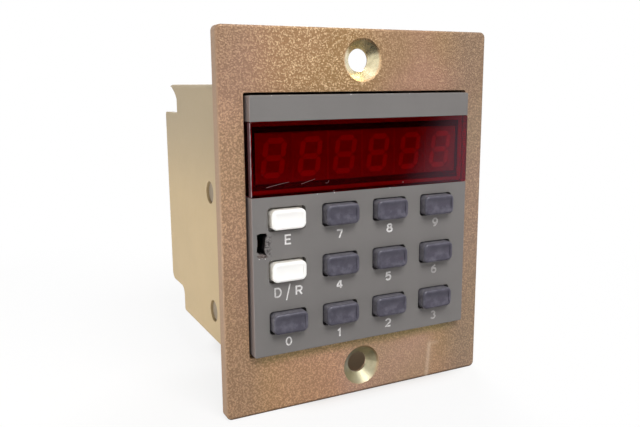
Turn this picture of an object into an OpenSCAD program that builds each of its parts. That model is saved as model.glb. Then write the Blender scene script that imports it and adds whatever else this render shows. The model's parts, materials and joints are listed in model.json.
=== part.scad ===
// Panel counter: a small preset counter with a six-digit display and a twelve-key keypad.
// Origin: middle of the mounting plate's rear face. X right and Z up seen from the front, Y into the panel.

/* [Mounting plate] */
// Width of the plate
plate_w = 60; // [58:0.5:70]
// Height of the plate
plate_h = 75; // [72:0.5:85]
// Thickness of the plate
plate_t = 2.5; // [2:0.1:4]
// Radius of the plate's corners
plate_corner_r = 1.2; // [0.8:0.1:3]
// Rounding of the plate's front edges
plate_edge_r = 0.5; // [0.2:0.1:0.8]
// Bore for a panel screw
screw_hole_d = 4.5; // [3.4:0.1:4.8]
// Metal left above and below a countersink
countersink_land = 1.8; // [1.6:0.1:2.4]
// Depth of the seat for the housing's rim in the plate's rear face
rim_seat = 0.8; // [0.4:0.1:1.2]

/* [Front panel] */
// Width of the front panel
panel_w = 49.2; // [46:0.1:52]
// Height of the front panel
panel_h = 50; // [47:0.1:53]
// How far the front panel stands in front of the plate
panel_proud = 1.75; // [1:0.05:2.5]
// Radius of the front panel's corners
panel_corner_r = 0.4; // [0.4:0.1:1.5]
// Rounding of the front panel's edges
panel_edge_r = 0.2; // [0.1:0.05:0.4]
// Wall behind the front panel's face
face_t = 1.6; // [1.2:0.1:2]
// Thickness of the front panel's skirt
skirt_t = 1.1; // [0.8:0.1:1.3]
// Depth of the skirt from the face
skirt_depth = 6.25; // [5:0.05:7.5]
// Gap between the front panel and the plate's cut-out
panel_gap = 0.5; // [0.4:0.05:0.7]
// Height of the plain strip above the window
strip_h = 4.7; // [4:0.1:5.5]
// Width of the torn hole in the face
tear_w = 2.2; // [1:0.1:2.6]
// Height of the torn hole in the face
tear_h = 4.7; // [3:0.1:5]

/* [Window and display] */
// Height of the window
window_h = 14.1; // [13.5:0.1:14.8]
// Thickness of the window
window_t = 3; // [2:0.1:3.5]
// Lip of the front panel behind the window's upper and lower edge
window_lip = 1; // [0.5:0.1:1.3]
// Number of digits
digits = 6; // [4:1:6]
// Distance from the front panel's side to the first digit
display_margin = 1.74; // [1.6:0.01:4]
// Height of a character
digit_h = 7.62; // [6:0.01:8]
// Width of a character
digit_w = 4.8; // [3:0.1:5]
// Height of a digit's body
digit_body_h = 9.5; // [9:0.1:10]
// Width of a segment
segment_w = 1.1; // [0.5:0.05:1.2]
// Slant of the characters
digit_slant = 8; // [0:1:12]

/* [Keys] */
// Width of a dark key cap
key_w = 7.3; // [6:0.1:8]
// Height of a dark key cap
key_h = 4.1; // [3.5:0.1:4.3]
// Width of a white key cap
white_key_w = 7.1; // [6:0.1:7.4]
// Height of a white key cap
white_key_h = 3.85; // [3.4:0.05:4.1]
// Radius of a cap's corners
key_corner_r = 1.1; // [0.6:0.1:1.4]
// Rounding of a cap's front edges
key_edge_r = 0.5; // [0.2:0.05:0.6]
// Depth of the hollow in a cap's front
key_dish = 0.22; // [0.05:0.01:0.3]
// Distance from the front panel's side to the middle of the outer keys
key_margin_x = 7.455; // [6.5:0.005:8]
// Distance from the front panel's lower edge to the middle of the last row
key_margin_z = 6.58; // [6:0.01:8]
// Sideways offset of the keypad
key_shift_x = -0.35; // [-0.5:0.05:0.5]
// Drop from the window's lower edge to the first row's centre
key_drop = 4.3; // [4:0.05:4.4]
// How far a dark cap stands in front of the face
key_proud = 1.7; // [1:0.05:2]
// How far a white cap stands in front of the face
white_key_proud = 1.35; // [0.9:0.05:2]
// Travel of a key
key_travel = 0.8; // [0.3:0.05:0.9]
// Diameter of a key's stem
stem_d = 3; // [2:0.1:3.4]

/* [Housing] */
// Room between the front panel and the housing's side walls
side_room = 0.8; // [0.4:0.1:1.2]
// Room between the front panel and the housing's top and bottom walls
top_room = 0.4; // [0.3:0.1:1.2]
// Wall of the housing
wall = 1.6; // [1.2:0.1:1.7]
// Radius of the housing's long corners
housing_corner_r = 1.2; // [0.6:0.1:2]
// Depth of the housing behind the plate, without the cheeks
housing_depth = 35.4; // [33:0.1:42]
// Depth of the two cheeks that guard the terminals
cheek_depth = 45.5; // [44:0.1:54]
// Height of a cheek
cheek_h = 41.2; // [38:0.1:44]
// Radius of a cheek's lower rear corner
cheek_r = 2; // [0.5:0.1:4]
// Radius of a cheek's upper rear corner
cheek_top_r = 0.8; // [0.4:0.1:4]
// Fillet where a cheek's lower edge meets the rear of the wall
cheek_fillet = 2; // [0.5:0.1:3]
// Fillet where a cheek's upper edge meets the rear of the wall
cheek_top_fillet = 0.5; // [0.3:0.1:1]
// Radius of the wall's lower rear corner
wall_rear_r = 1; // [0.5:0.1:2]
// Depth of the lip on the top wall
lip_depth = 41.4; // [38:0.1:42]
// Thickness of the lip's tip
lip_t = 0.45; // [0.4:0.05:1]
// Radius of the hollow under the lip
lip_fillet = 8; // [7:0.1:12]
// Diameter of a latch hole
latch_hole_d = 4.6; // [4:0.1:5]
// Distance of the latch holes behind the plate
latch_y = 13; // [11:0.1:20]
// Height of the upper latch hole
latch_upper_z = 5.25; // [4:0.05:8]
// Distance from the front panel's lower edge to the lower latch hole
latch_margin = 5; // [4.5:0.05:9]

/* [Boards and terminals] */
// Thickness of the circuit boards
board_t = 1.6; // [1:0.1:2]
// Depth of the front board behind the face
front_board_depth = 9.25; // [8.8:0.05:10.5]
// Height of a key switch
switch_h = 3.9; // [3.2:0.1:4.2]
// Side of a key switch
switch_w = 6; // [5:0.1:7]
// Thickness of the rear cover
cover_t = 2; // [1.5:0.1:3]
// Gap between the logic board and the rear cover
cover_gap = 2.4; // [1.5:0.1:4]
// Number of poles in a terminal block
poles = 8; // [4:1:8]
// Pitch of the poles
pole_pitch = 5.08; // [5:0.01:5.1]
// Height of a terminal block
terminal_h = 8.4; // [8:0.1:9]
// Depth of a terminal block
terminal_depth = 12.4; // [11:0.1:13]
// Distance of the terminal blocks from the middle
terminal_z = 12; // [11:0.1:13]

/* [Hidden] */
$fn = 48;

// Clearances: loose between pieces that are put together, running round a stem, running round a cap
fit = 0.1;
stem_gap = 0.3;
key_gap_x = 0.3;
key_gap_z = 0.25;
key_opening_r = 0.7;
thread_gap = 0.05;
// Film that bonds the window to its seat
window_bond = 0.05;
overcut = 1;

// Depths from the face to the rear
face_y = -(plate_t + panel_proud);
face_back_y = face_y + face_t;
window_back_y = face_y + window_t;
skirt_back_y = face_y + skirt_depth;
front_board_y = face_y + front_board_depth;
front_board_back_y = front_board_y + board_t;
cover_inset = 0.4;
cover_y = housing_depth - cover_inset - cover_t;
cover_back_y = cover_y + cover_t;
logic_board_back_y = cover_y - cover_gap;
logic_board_y = logic_board_back_y - board_t;

// Mounting plate
cutout_w = panel_w + 2 * panel_gap;
cutout_h = panel_h + 2 * panel_gap;
plate_border = (plate_h - cutout_h) / 2;
screw_spacing = plate_h - plate_border;
countersink_d = plate_border - 2 * countersink_land;
countersink_depth = (countersink_d - screw_hole_d) / 2;

// Front panel
window_top = panel_h / 2 - strip_h;
window_bottom = window_top - window_h;
window_z = (window_top + window_bottom) / 2;
window_corner_r = 0.4;
window_edge_r = 0.15;
rib_t = 0.9;
rib_depth = 1.4;
boss_d = 3;
boss_inset_x = 3;
boss_inset_z = 2.4;
boss_x = panel_w / 2 - boss_inset_x;
boss_z = panel_h / 2 - boss_inset_z;
boss_pilot_d = 1.5;
boss_pilot_depth = 4;
tongue_t = skirt_t;
tongue_margin = 0.9;
peg_gap = 0.2;
peg_d = latch_hole_d - 2 * peg_gap;
peg_recess = 0.5;
tear_inset = 0.8;
tear_drop = 2.4;
tear_x = -panel_w / 2 + tear_inset;
tear_top = window_bottom - key_drop - tear_drop;

// Housing
inner_w = panel_w + 2 * side_room;
inner_h = panel_h + 2 * top_room;
housing_w = inner_w + 2 * wall;
housing_h = inner_h + 2 * wall;
latch_heights = [latch_upper_z, latch_margin - panel_h / 2];
rim_fit = 0.1;
pillar_len = 6;
pillar_d = 5.6;
pillar_inset = 3;
pillar_x = inner_w / 2 - pillar_inset;
pillar_z = inner_h / 2 - pillar_inset;
pillar_pilot_d = 2.2;

// Display
display_w = panel_w - 2 * display_margin;
digit_pitch = display_w / digits;
digit_gap = 0.2;
digit_front_y = window_back_y + digit_gap;
mask_w = panel_w - 2 * skirt_t - 2 * fit;
mask_h = window_h - 2 * window_lip - fit;
segment_depth = 0.15;
segment_gap = 0.12;

// Keys, row by row from the top left
key_rows = [
    ["enter", "7", "8", "9"],
    ["display_reset", "4", "5", "6"],
    ["0", "1", "2", "3"],
];
columns = 4;
rows = 3;
// The first key of each of the upper rows is white
white_rows = 2;
key_pitch_x = (panel_w - 2 * key_margin_x) / (columns - 1);
key_pitch_z = (window_bottom - key_drop + panel_h / 2 - key_margin_z) / (rows - 1);
dish_land = 0.1;
dish_end = 0.75;
flange_t = 0.8;
flange_gap = 0.1;
flange_over_x = 0.4;
flange_over_z = 0.3;
flange_w = key_w + 2 * key_gap_x + 2 * flange_over_x;
flange_h = key_h + 2 * key_gap_z + 2 * flange_over_z;
stem_reach = 1.2;
switch_front_y = front_board_y - switch_h;
stem_tip_y = switch_front_y + stem_reach;
well_d = stem_d + 2 * stem_gap;
dome_t = 0.3;
dome_gap = 0.05;
well_floor_y = stem_tip_y + key_travel + dome_gap + dome_t;

// Boards
front_board_w = panel_w - 2 * tongue_t - 2 * fit;
front_board_h = panel_h - 2 * skirt_t - 2 * fit;
logic_board_gap = 0.4;
pillar_gap = 0.6;
logic_board_w = inner_w - 2 * logic_board_gap;
logic_board_h = 2 * (pillar_z - pillar_d / 2 - pillar_gap);
spacer_d = 4.4;
spacer_inset = 4.5;
spacer_clear = 3;
spacer_x = logic_board_w / 2 - spacer_inset;
spacer_z = terminal_z - terminal_h / 2 - spacer_clear;
spacer_spigot_d = 2.4;
spacer_thread_d = 2.5;
spacer_thread_depth = 6;

// Screws: thread diameter, head diameter, head height
board_screw = [boss_pilot_d - 2 * thread_gap, 3.2, 1.3];
spacer_screw = [spacer_thread_d - 2 * thread_gap, 4.4, 1.6];
cover_screw = [pillar_pilot_d - 2 * thread_gap, 4.4, 1.2];
terminal_screw = [2.4, 3.6, 1.8];
slot_w = 0.6;
slot_depth = 0.7;
cover_screw_end = 1;

// Terminal blocks
terminal_end = 0.3;
terminal_w = poles * pole_pitch + 2 * terminal_end;
terminal_floor = 2;
terminal_shoulder = 3;
terminal_slope = 1.6;
window_fit = 0.3;
entry_w = 3.4;
entry_h = 3.2;
entry_depth = 3;
entry_from_cover = 1.2;
screw_well_d = 4;
screw_well_depth = 3.4;
screw_well_z = -0.9;

// Parts on the logic board
chip_gap = 0.5;
chip_w = 2 * (spacer_x - spacer_d / 2 - chip_gap);
chip_h = 13.7;
chip_t = 3.8;
chip_standoff = 0.5;
chip_leg_pitch = 2.54;
chip_leg_w = 0.5;
chip_notch_r = 1.2;
chip_legs = floor(chip_w / chip_leg_pitch);
relay_w = 20;
relay_h = 10;
relay_depth = 15;
relay_corner_r = 0.6;
relay_x = 4;
relay_gap = 0.65;
relay_z = -(chip_h / 2 + relay_gap + relay_h / 2);
capacitor_d = 10;
capacitor_l = 16;
capacitor_gap = 0.5;
capacitor_x = relay_x - relay_w / 2 - capacitor_gap - capacitor_d / 2;
crystal_w = 11;
crystal_t = 4.5;
crystal_depth = 13.5;
crystal_flat = 0.2;
crystal_gap = 0.9;
crystal_z = chip_h / 2 + crystal_gap + crystal_t / 2;
link_pitch = 2.54;
link_pins = 12;
link_strip = 2.5;
link_pin_d = 0.64;
link_inset = 2;
link_z = logic_board_h / 2 - link_inset;

metal = [0.66, 0.54, 0.42];
beige = [0.80, 0.72, 0.58];
face_grey = [0.50, 0.49, 0.47];
slate = [0.35, 0.34, 0.40];
white = [0.97, 0.97, 0.95];
window_red = [0.30, 0.02, 0.05];
digit_red = [0.45, 0.12, 0.14];
black = [0.08, 0.08, 0.08];
board_green = [0.12, 0.35, 0.20];
steel = [0.75, 0.75, 0.76];
brass = [0.80, 0.66, 0.35];

function key_x(col) = key_shift_x + (col - (columns - 1) / 2) * key_pitch_x;
function key_z(row) = window_bottom - key_drop - row * key_pitch_z;
function is_white(col, row) = col == 0 && row < white_rows;
function slanted(points) = [for (p = points) [p[0] + p[1] * tan(digit_slant), p[1]]];

// A long hexagon along x, for one segment
function bar(half, s) = [[-half, 0], [s - half, s], [half - s, s], [half, 0], [half - s, -s], [s - half, -s]];
function upright(points) = [for (p = points) [p[1], p[0]]];
function moved(points, x, z) = [for (p = points) [p[0] + x, p[1] + z]];

// A rectangle with round corners
module rounded_rect(w, h, r) {
    square([w - 2 * r, h], center = true);
    square([w, h - 2 * r], center = true);
    for (sx = [-1, 1], sz = [-1, 1])
        translate([sx * (w / 2 - r), sz * (h / 2 - r)])
            circle(r);
}

// A section across the depth with its two front corners rounded
module front_rounded(w, front, back, r) {
    translate([-w / 2, front + r])
        square([w, back - front - r]);
    translate([-w / 2 + r, front])
        square([w - 2 * r, back - front]);
    for (s = [-1, 1])
        translate([s * (w / 2 - r), front + r])
            circle(r);
}

// Carries a drawing in x and z from one depth to another
module along_y(from, to) {
    translate([0, to, 0])
        rotate([90, 0, 0])
            linear_extrude(to - from)
                children();
}

// A block with round corners in the front view, and front edges whose rounding runs on round the corners
module soft_block(w, h, front, back, corner_r, edge_r) {
    rotate([0, 90, 0])
        linear_extrude(w - 2 * corner_r, center = true)
            front_rounded(h, front, back, edge_r);
    linear_extrude(h - 2 * corner_r, center = true)
        front_rounded(w, front, back, edge_r);
    four(w / 2 - corner_r, h / 2 - corner_r)
        rotate([-90, 0, 0])
            rotate_extrude()
                intersection() {
                    front_rounded(2 * corner_r, front, back, edge_r);
                    translate([0, front])
                        square([corner_r, back - front]);
                }
}

// A round bar along the depth
module pin(x, z, d, from, to) {
    translate([x, from, z])
        rotate([-90, 0, 0])
            cylinder(d = d, h = to - from);
}

module four(x, z) {
    for (sx = [-1, 1], sz = [-1, 1])
        translate([sx * x, 0, sz * z])
            children();
}

// A pan-head screw whose head sits on the depth `seat` and whose thread runs towards the front
module pan_screw(size, seat, length) {
    difference() {
        union() {
            pin(0, 0, size[0], seat - length, seat);
            pin(0, 0, size[1], seat, seat + size[2]);
        }
        translate([0, seat + size[2], 0])
            cube([size[1] + overcut, 2 * slot_depth, slot_w], center = true);
    }
}

module mounting_plate() {
    color(metal)
        difference() {
            soft_block(plate_w, plate_h, -plate_t, 0, plate_corner_r, plate_edge_r);
            along_y(-plate_t - overcut, overcut)
                rounded_rect(cutout_w, cutout_h, panel_corner_r);
            along_y(-rim_seat, overcut)
                rounded_rect(housing_w + 2 * rim_fit, housing_h + 2 * rim_fit, housing_corner_r + rim_fit);
            for (s = [-1, 1])
                translate([0, 0, s * screw_spacing / 2])
                    panel_screw_hole();
        }
}

module panel_screw_hole() {
    pin(0, 0, screw_hole_d, -plate_t - overcut, overcut);
    translate([0, -plate_t, 0])
        rotate([-90, 0, 0])
            cylinder(d1 = countersink_d, d2 = screw_hole_d, h = countersink_depth);
}

// A round corner that fills the angle between a level edge and an upright one, at the origin
module corner_fillet(r) {
    difference() {
        square(r);
        translate([r, r])
            circle(r);
    }
}

// The housing's outline seen from the side. x is the depth: the walls, the cheek and the lip on the top wall
module housing_side() {
    lip_l = lip_depth - housing_depth;
    lip_drop = lip_t + lip_fillet - sqrt(lip_fillet * lip_fillet - lip_l * lip_l);
    translate([-rim_seat, -housing_h / 2])
        square([housing_depth + rim_seat - wall_rear_r, housing_h]);
    translate([-rim_seat, -housing_h / 2 + wall_rear_r])
        square([housing_depth + rim_seat, housing_h - wall_rear_r]);
    translate([housing_depth - wall_rear_r, -housing_h / 2 + wall_rear_r])
        circle(wall_rear_r);
    translate([0, -cheek_h / 2 + cheek_r])
        square([cheek_depth, cheek_h - cheek_r - cheek_top_r]);
    translate([0, -cheek_h / 2])
        square([cheek_depth - cheek_r, cheek_h / 2]);
    square([cheek_depth - cheek_top_r, cheek_h / 2]);
    translate([cheek_depth - cheek_r, -cheek_h / 2 + cheek_r])
        circle(cheek_r);
    translate([cheek_depth - cheek_top_r, cheek_h / 2 - cheek_top_r])
        circle(cheek_top_r);
    translate([housing_depth, -cheek_h / 2])
        mirror([0, 1])
            corner_fillet(cheek_fillet);
    translate([housing_depth, cheek_h / 2])
        corner_fillet(cheek_top_fillet);
    difference() {
        translate([0, housing_h / 2 - lip_drop])
            square([lip_depth, lip_drop]);
        translate([lip_depth, housing_h / 2 - lip_t - lip_fillet])
            circle(lip_fillet);
    }
}

// A pillar in each corner takes a screw of the rear cover
module housing_pillars() {
    along_y(cover_y - pillar_len, cover_y)
        for (sx = [-1, 1], sz = [-1, 1])
            in_corner(sx, sz) {
                translate([pillar_x, pillar_z])
                    circle(d = pillar_d);
                translate([pillar_x, pillar_z - pillar_d / 2])
                    square([inner_w / 2 - pillar_x, pillar_d / 2 + inner_h / 2 - pillar_z]);
                translate([pillar_x - pillar_d / 2, pillar_z])
                    square([pillar_d / 2 + inner_w / 2 - pillar_x, inner_h / 2 - pillar_z]);
            }
}

module in_corner(sx, sz) {
    mirror([sx < 0 ? 1 : 0, 0])
        mirror([0, sz < 0 ? 1 : 0])
            children();
}

module housing() {
    color(beige)
        difference() {
            union() {
                intersection() {
                    along_y(-rim_seat, cheek_depth)
                        difference() {
                            rounded_rect(housing_w, housing_h, housing_corner_r);
                            square([inner_w, inner_h], center = true);
                        }
                    rotate([90, 0, 90])
                        linear_extrude(housing_w + overcut, center = true)
                            housing_side();
                }
                housing_pillars();
            }
            for (z = latch_heights)
                translate([0, latch_y, z])
                    rotate([0, 90, 0])
                        cylinder(d = latch_hole_d, h = housing_w + overcut, center = true);
            four(pillar_x, pillar_z)
                pin(0, 0, pillar_pilot_d, cover_y - pillar_len - overcut, cover_y + overcut);
        }
}

module rear_cover() {
    color(beige)
        difference() {
            along_y(cover_y, cover_back_y)
                difference() {
                    square([inner_w - 2 * fit, inner_h - 2 * fit], center = true);
                    for (s = [-1, 1])
                        translate([0, s * terminal_z])
                            square([terminal_w + 2 * window_fit, terminal_h + 2 * window_fit], center = true);
                }
            four(pillar_x, pillar_z) {
                pin(0, 0, pillar_pilot_d, cover_y - overcut, cover_back_y + overcut);
                cover_screw_head(0);
            }
        }
}

// The conical head of a rear cover screw, flush with the cover
module cover_screw_head(smaller) {
    head_d = cover_screw[1] - 2 * smaller;
    translate([0, cover_back_y - cover_screw[2], 0])
        rotate([-90, 0, 0])
            cylinder(d1 = cover_screw[0], d2 = head_d, h = cover_screw[2]);
}

module rear_cover_screws() {
    color(steel)
        four(pillar_x, pillar_z)
            difference() {
                union() {
                    pin(0, 0, cover_screw[0], cover_y - pillar_len + cover_screw_end, cover_back_y - cover_screw[2]);
                    cover_screw_head(thread_gap);
                }
                translate([0, cover_back_y, 0])
                    cube([cover_screw[1] + overcut, 2 * slot_depth, slot_w], center = true);
            }
}

// Ribs above and below the window, with a lip behind its edge
module window_ribs() {
    rib_back_y = window_back_y + rib_depth;
    for (s = [-1, 1]) {
        edge = window_z + s * window_h / 2;
        translate([-panel_w / 2 + skirt_t / 2, face_back_y - overcut / 2, min(edge, edge + s * rib_t)])
            cube([panel_w - skirt_t, rib_back_y - face_back_y + overcut / 2, rib_t]);
        translate([-panel_w / 2 + skirt_t / 2, window_back_y, min(edge, edge - s * window_lip)])
            cube([panel_w - skirt_t, rib_depth, window_lip]);
    }
}

// Side tongues with the pegs that snap into the housing's latch holes
module latches() {
    for (s = [-1, 1], z = latch_heights) {
        tongue_back = latch_y + peg_d / 2 + tongue_margin;
        tongue_h = peg_d + 2 * tongue_margin;
        translate([s > 0 ? panel_w / 2 - tongue_t : -panel_w / 2, window_back_y, z - tongue_h / 2])
            cube([tongue_t, tongue_back - window_back_y, tongue_h]);
        translate([s * (panel_w / 2 - tongue_t / 2), latch_y, z])
            rotate([0, s * 90, 0])
                cylinder(d = peg_d, h = housing_w / 2 - peg_recess - panel_w / 2 + tongue_t / 2);
    }
}

module key_opening() {
    along_y(face_y - overcut, face_back_y + overcut / 4)
        rounded_rect(key_w + 2 * key_gap_x, key_h + 2 * key_gap_z, key_opening_r);
}

// The ragged hole beside the two white keys
module tear() {
    along_y(face_y - overcut, face_back_y + overcut / 4)
        translate([tear_x, tear_top])
            polygon([
                [0.05 * tear_w, -0.05 * tear_h], [0.35 * tear_w, 0], [0.93 * tear_w, -0.02 * tear_h],
                [tear_w, -0.13 * tear_h], [0.82 * tear_w, -0.21 * tear_h], [0.8 * tear_w, -0.49 * tear_h],
                [0.71 * tear_w, -0.66 * tear_h], [0.78 * tear_w, -0.81 * tear_h], [0.96 * tear_w, -tear_h],
                [0.6 * tear_w, -0.87 * tear_h], [0.27 * tear_w, -0.85 * tear_h], [0, -0.74 * tear_h],
                [0.09 * tear_w, -0.4 * tear_h],
            ]);
}

module front_panel() {
    color(face_grey)
        difference() {
            union() {
                difference() {
                    soft_block(panel_w, panel_h, face_y, skirt_back_y, panel_corner_r, panel_edge_r);
                    along_y(face_back_y, skirt_back_y + overcut)
                        square([panel_w - 2 * skirt_t, panel_h - 2 * skirt_t], center = true);
                }
                window_ribs();
                four(boss_x, boss_z)
                    pin(0, 0, boss_d, face_back_y - face_t / 2, front_board_y);
                latches();
            }
            translate([-panel_w / 2 - overcut, face_y - overcut, window_bottom])
                cube([panel_w + 2 * overcut, window_t + overcut, window_h]);
            for (row = [0:rows - 1], col = [0:columns - 1])
                translate([key_x(col), 0, key_z(row)])
                    key_opening();
            four(boss_x, boss_z)
                pin(0, 0, boss_pilot_d, front_board_y - boss_pilot_depth, front_board_y + overcut);
            tear();
        }
}

module display_window() {
    color(window_red, 0.8)
        translate([0, 0, window_z])
            soft_block(panel_w, window_h, face_y, window_back_y - window_bond, window_corner_r, window_edge_r);
}

module display_mask() {
    color(black)
        translate([0, 0, window_z])
            along_y(window_back_y, front_board_y)
                difference() {
                    square([mask_w, mask_h], center = true);
                    square([display_w + fit, digit_body_h + 2 * fit], center = true);
                }
}

// The seven segments, as drawings round the middle of the character
module segments() {
    reach_x = (digit_w - segment_w) / 2;
    reach_z = (digit_h - segment_w) / 2;
    s = segment_w / 2;
    for (z = [-reach_z, 0, reach_z])
        polygon(slanted(moved(bar(reach_x - segment_gap / 2, s), 0, z)));
    for (x = [-reach_x, reach_x], z = [-reach_z / 2, reach_z / 2])
        polygon(slanted(moved(upright(bar(reach_z / 2 - segment_gap / 2, s)), x, z)));
}

module led_digit(index) {
    color(digit_red)
        translate([(index - (digits + 1) / 2) * digit_pitch, 0, window_z])
            difference() {
                along_y(digit_front_y, front_board_y)
                    square([digit_pitch - fit, digit_body_h], center = true);
                along_y(digit_front_y - overcut, digit_front_y + segment_depth)
                    segments();
            }
}

module front_board() {
    color(board_green)
        difference() {
            along_y(front_board_y, front_board_back_y)
                square([front_board_w, front_board_h], center = true);
            four(boss_x, boss_z)
                pin(0, 0, boss_pilot_d, front_board_y - overcut, front_board_back_y + overcut);
            four(spacer_x, spacer_z)
                pin(0, 0, spacer_spigot_d + 2 * thread_gap, front_board_y - overcut, front_board_back_y + overcut);
        }
}

module board_screws() {
    color(steel)
        four(boss_x, boss_z)
            pan_screw(board_screw, front_board_back_y, board_t + boss_pilot_depth - fit);
}

// A cap with the flange that keeps it in the panel and the stem that works its switch
module key(col, row) {
    cap_w = is_white(col, row) ? white_key_w : key_w;
    cap_h = is_white(col, row) ? white_key_h : key_h;
    front_y = face_y - (is_white(col, row) ? white_key_proud : key_proud);
    flange_y = face_back_y + flange_gap;
    dish_half = cap_h / 2 - key_edge_r - dish_land;
    dish_r = (dish_half * dish_half + key_dish * key_dish) / (2 * key_dish);
    color(is_white(col, row) ? white : slate)
        translate([key_x(col), 0, key_z(row)]) {
            difference() {
                soft_block(cap_w, cap_h, front_y, flange_y + flange_t / 2, key_corner_r, key_edge_r);
                translate([0, front_y + key_dish - dish_r, 0])
                    rotate([0, 90, 0])
                        cylinder(r = dish_r, h = cap_w - 2 * dish_end, center = true, $fn = 2 * $fn);
            }
            along_y(flange_y, flange_y + flange_t)
                rounded_rect(flange_w, flange_h, key_opening_r);
            pin(0, 0, stem_d, flange_y + flange_t / 2, stem_tip_y);
        }
}

module key_switch(col, row) {
    color(black)
        translate([key_x(col), 0, key_z(row)])
            difference() {
                along_y(switch_front_y, front_board_y)
                    square([switch_w, switch_w], center = true);
                pin(0, 0, well_d, switch_front_y - overcut, well_floor_y);
            }
}

// The sprung contact discs, pressed flat, one in each switch
module snap_domes() {
    color(brass)
        for (row = [0:rows - 1], col = [0:columns - 1])
            pin(key_x(col), key_z(row), well_d - 2 * fit, well_floor_y - dome_t, well_floor_y);
}

module board_spacers() {
    color(brass)
        four(spacer_x, spacer_z)
            difference() {
                union() {
                    translate([0, front_board_back_y, 0])
                        rotate([-90, 0, 0])
                            cylinder(d = spacer_d, h = logic_board_y - front_board_back_y, $fn = 6);
                    pin(0, 0, spacer_spigot_d, front_board_y, front_board_back_y + overcut);
                }
                pin(0, 0, spacer_thread_d, logic_board_y - spacer_thread_depth, logic_board_y + overcut);
            }
}

module spacer_screws() {
    color(steel)
        four(spacer_x, spacer_z)
            pan_screw(spacer_screw, logic_board_back_y, board_t + spacer_thread_depth - fit);
}

module logic_board() {
    color(board_green)
        difference() {
            along_y(logic_board_y, logic_board_back_y)
                square([logic_board_w, logic_board_h], center = true);
            four(spacer_x, spacer_z)
                pin(0, 0, spacer_thread_d, logic_board_y - overcut, logic_board_back_y + overcut);
        }
}

// A flat chip with two rows of legs, on the front side of the logic board
module microcontroller() {
    color(black) {
        along_y(logic_board_y - chip_standoff - chip_t, logic_board_y - chip_standoff)
            difference() {
                square([chip_w, chip_h], center = true);
                translate([-chip_w / 2, 0])
                    circle(chip_notch_r);
            }
        along_y(logic_board_y - chip_standoff - chip_t / 2, logic_board_y)
            for (i = [0:chip_legs - 1], s = [-1, 1])
                translate([(i - (chip_legs - 1) / 2) * chip_leg_pitch, s * (chip_h / 2 + chip_leg_w / 4)])
                    square([chip_leg_w, chip_leg_w], center = true);
    }
}

module on_logic_board(x, z, height) {
    translate([x, 0, z])
        along_y(logic_board_y - height, logic_board_y)
            children();
}

module output_relay() {
    color(black)
        on_logic_board(relay_x, relay_z, relay_depth)
            rounded_rect(relay_w, relay_h, relay_corner_r);
}

module smoothing_capacitor() {
    color(black)
        on_logic_board(capacitor_x, relay_z, capacitor_l)
            circle(d = capacitor_d);
}

module crystal() {
    color(steel)
        on_logic_board(0, crystal_z, crystal_depth)
            rounded_rect(crystal_w, crystal_t, (crystal_t - crystal_flat) / 2);
}

// Two pin strips joined by their long pins, from board to board
module board_link() {
    strip_w = link_pins * link_pitch;
    color(black)
        translate([0, 0, link_z]) {
            for (from = [front_board_back_y, logic_board_y - link_strip])
                along_y(from, from + link_strip)
                    square([strip_w, link_strip], center = true);
            for (i = [0:link_pins - 1])
                pin((i - (link_pins - 1) / 2) * link_pitch, 0, link_pin_d, front_board_back_y, logic_board_y);
        }
}

function pole_x(i) = (i - (poles - 1) / 2) * pole_pitch;

// One terminal block with its wire entries upwards, centred on its own middle
module terminal_block() {
    back_y = logic_board_back_y + terminal_depth;
    half = terminal_h / 2;
    screw_bore_d = terminal_screw[0] + 2 * thread_gap;
    difference() {
        rotate([90, 0, 90])
            linear_extrude(terminal_w, center = true)
                polygon([
                    [logic_board_back_y, -half], [back_y, -half], [back_y, half - terminal_slope],
                    [back_y - terminal_shoulder, half], [logic_board_back_y, half],
                ]);
        for (i = [0:poles - 1]) {
            pin(pole_x(i), screw_well_z, screw_well_d, back_y - screw_well_depth, back_y + overcut);
            pin(pole_x(i), screw_well_z, screw_bore_d, logic_board_back_y + terminal_floor, back_y);
            translate([pole_x(i) - entry_w / 2, cover_back_y + entry_from_cover, half - entry_depth])
                cube([entry_w, entry_h, entry_depth + overcut]);
        }
    }
}

module terminal_block_upper() {
    color(black)
        translate([0, 0, terminal_z])
            terminal_block();
}

module terminal_block_lower() {
    color(black)
        translate([0, 0, -terminal_z])
            mirror([0, 0, 1])
                terminal_block();
}

module terminal_screws() {
    seat = logic_board_back_y + terminal_depth - screw_well_depth;
    color(steel)
        for (s = [-1, 1], i = [0:poles - 1])
            translate([pole_x(i), 0, s * (terminal_z + screw_well_z)])
                pan_screw(terminal_screw, seat, seat - logic_board_back_y - terminal_floor - fit);
}

mounting_plate();
housing();
rear_cover();
rear_cover_screws();
front_panel();
display_window();
display_mask();
for (i = [1:digits])
    led_digit(i);
front_board();
board_screws();
for (row = [0:rows - 1], col = [0:columns - 1]) {
    key(col, row);
    key_switch(col, row);
}
snap_domes();
board_spacers();
logic_board();
spacer_screws();
microcontroller();
output_relay();
smoothing_capacitor();
crystal();
board_link();
terminal_block_upper();
terminal_block_lower();
terminal_screws();
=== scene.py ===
"""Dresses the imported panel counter: finishes, printed marks, wear, studio light and the camera."""
from __future__ import annotations

import json
import logging
from dataclasses import dataclass, field
from enum import Enum, IntEnum

import bpy
import numpy as np
from mathutils import Matrix, Vector

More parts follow.
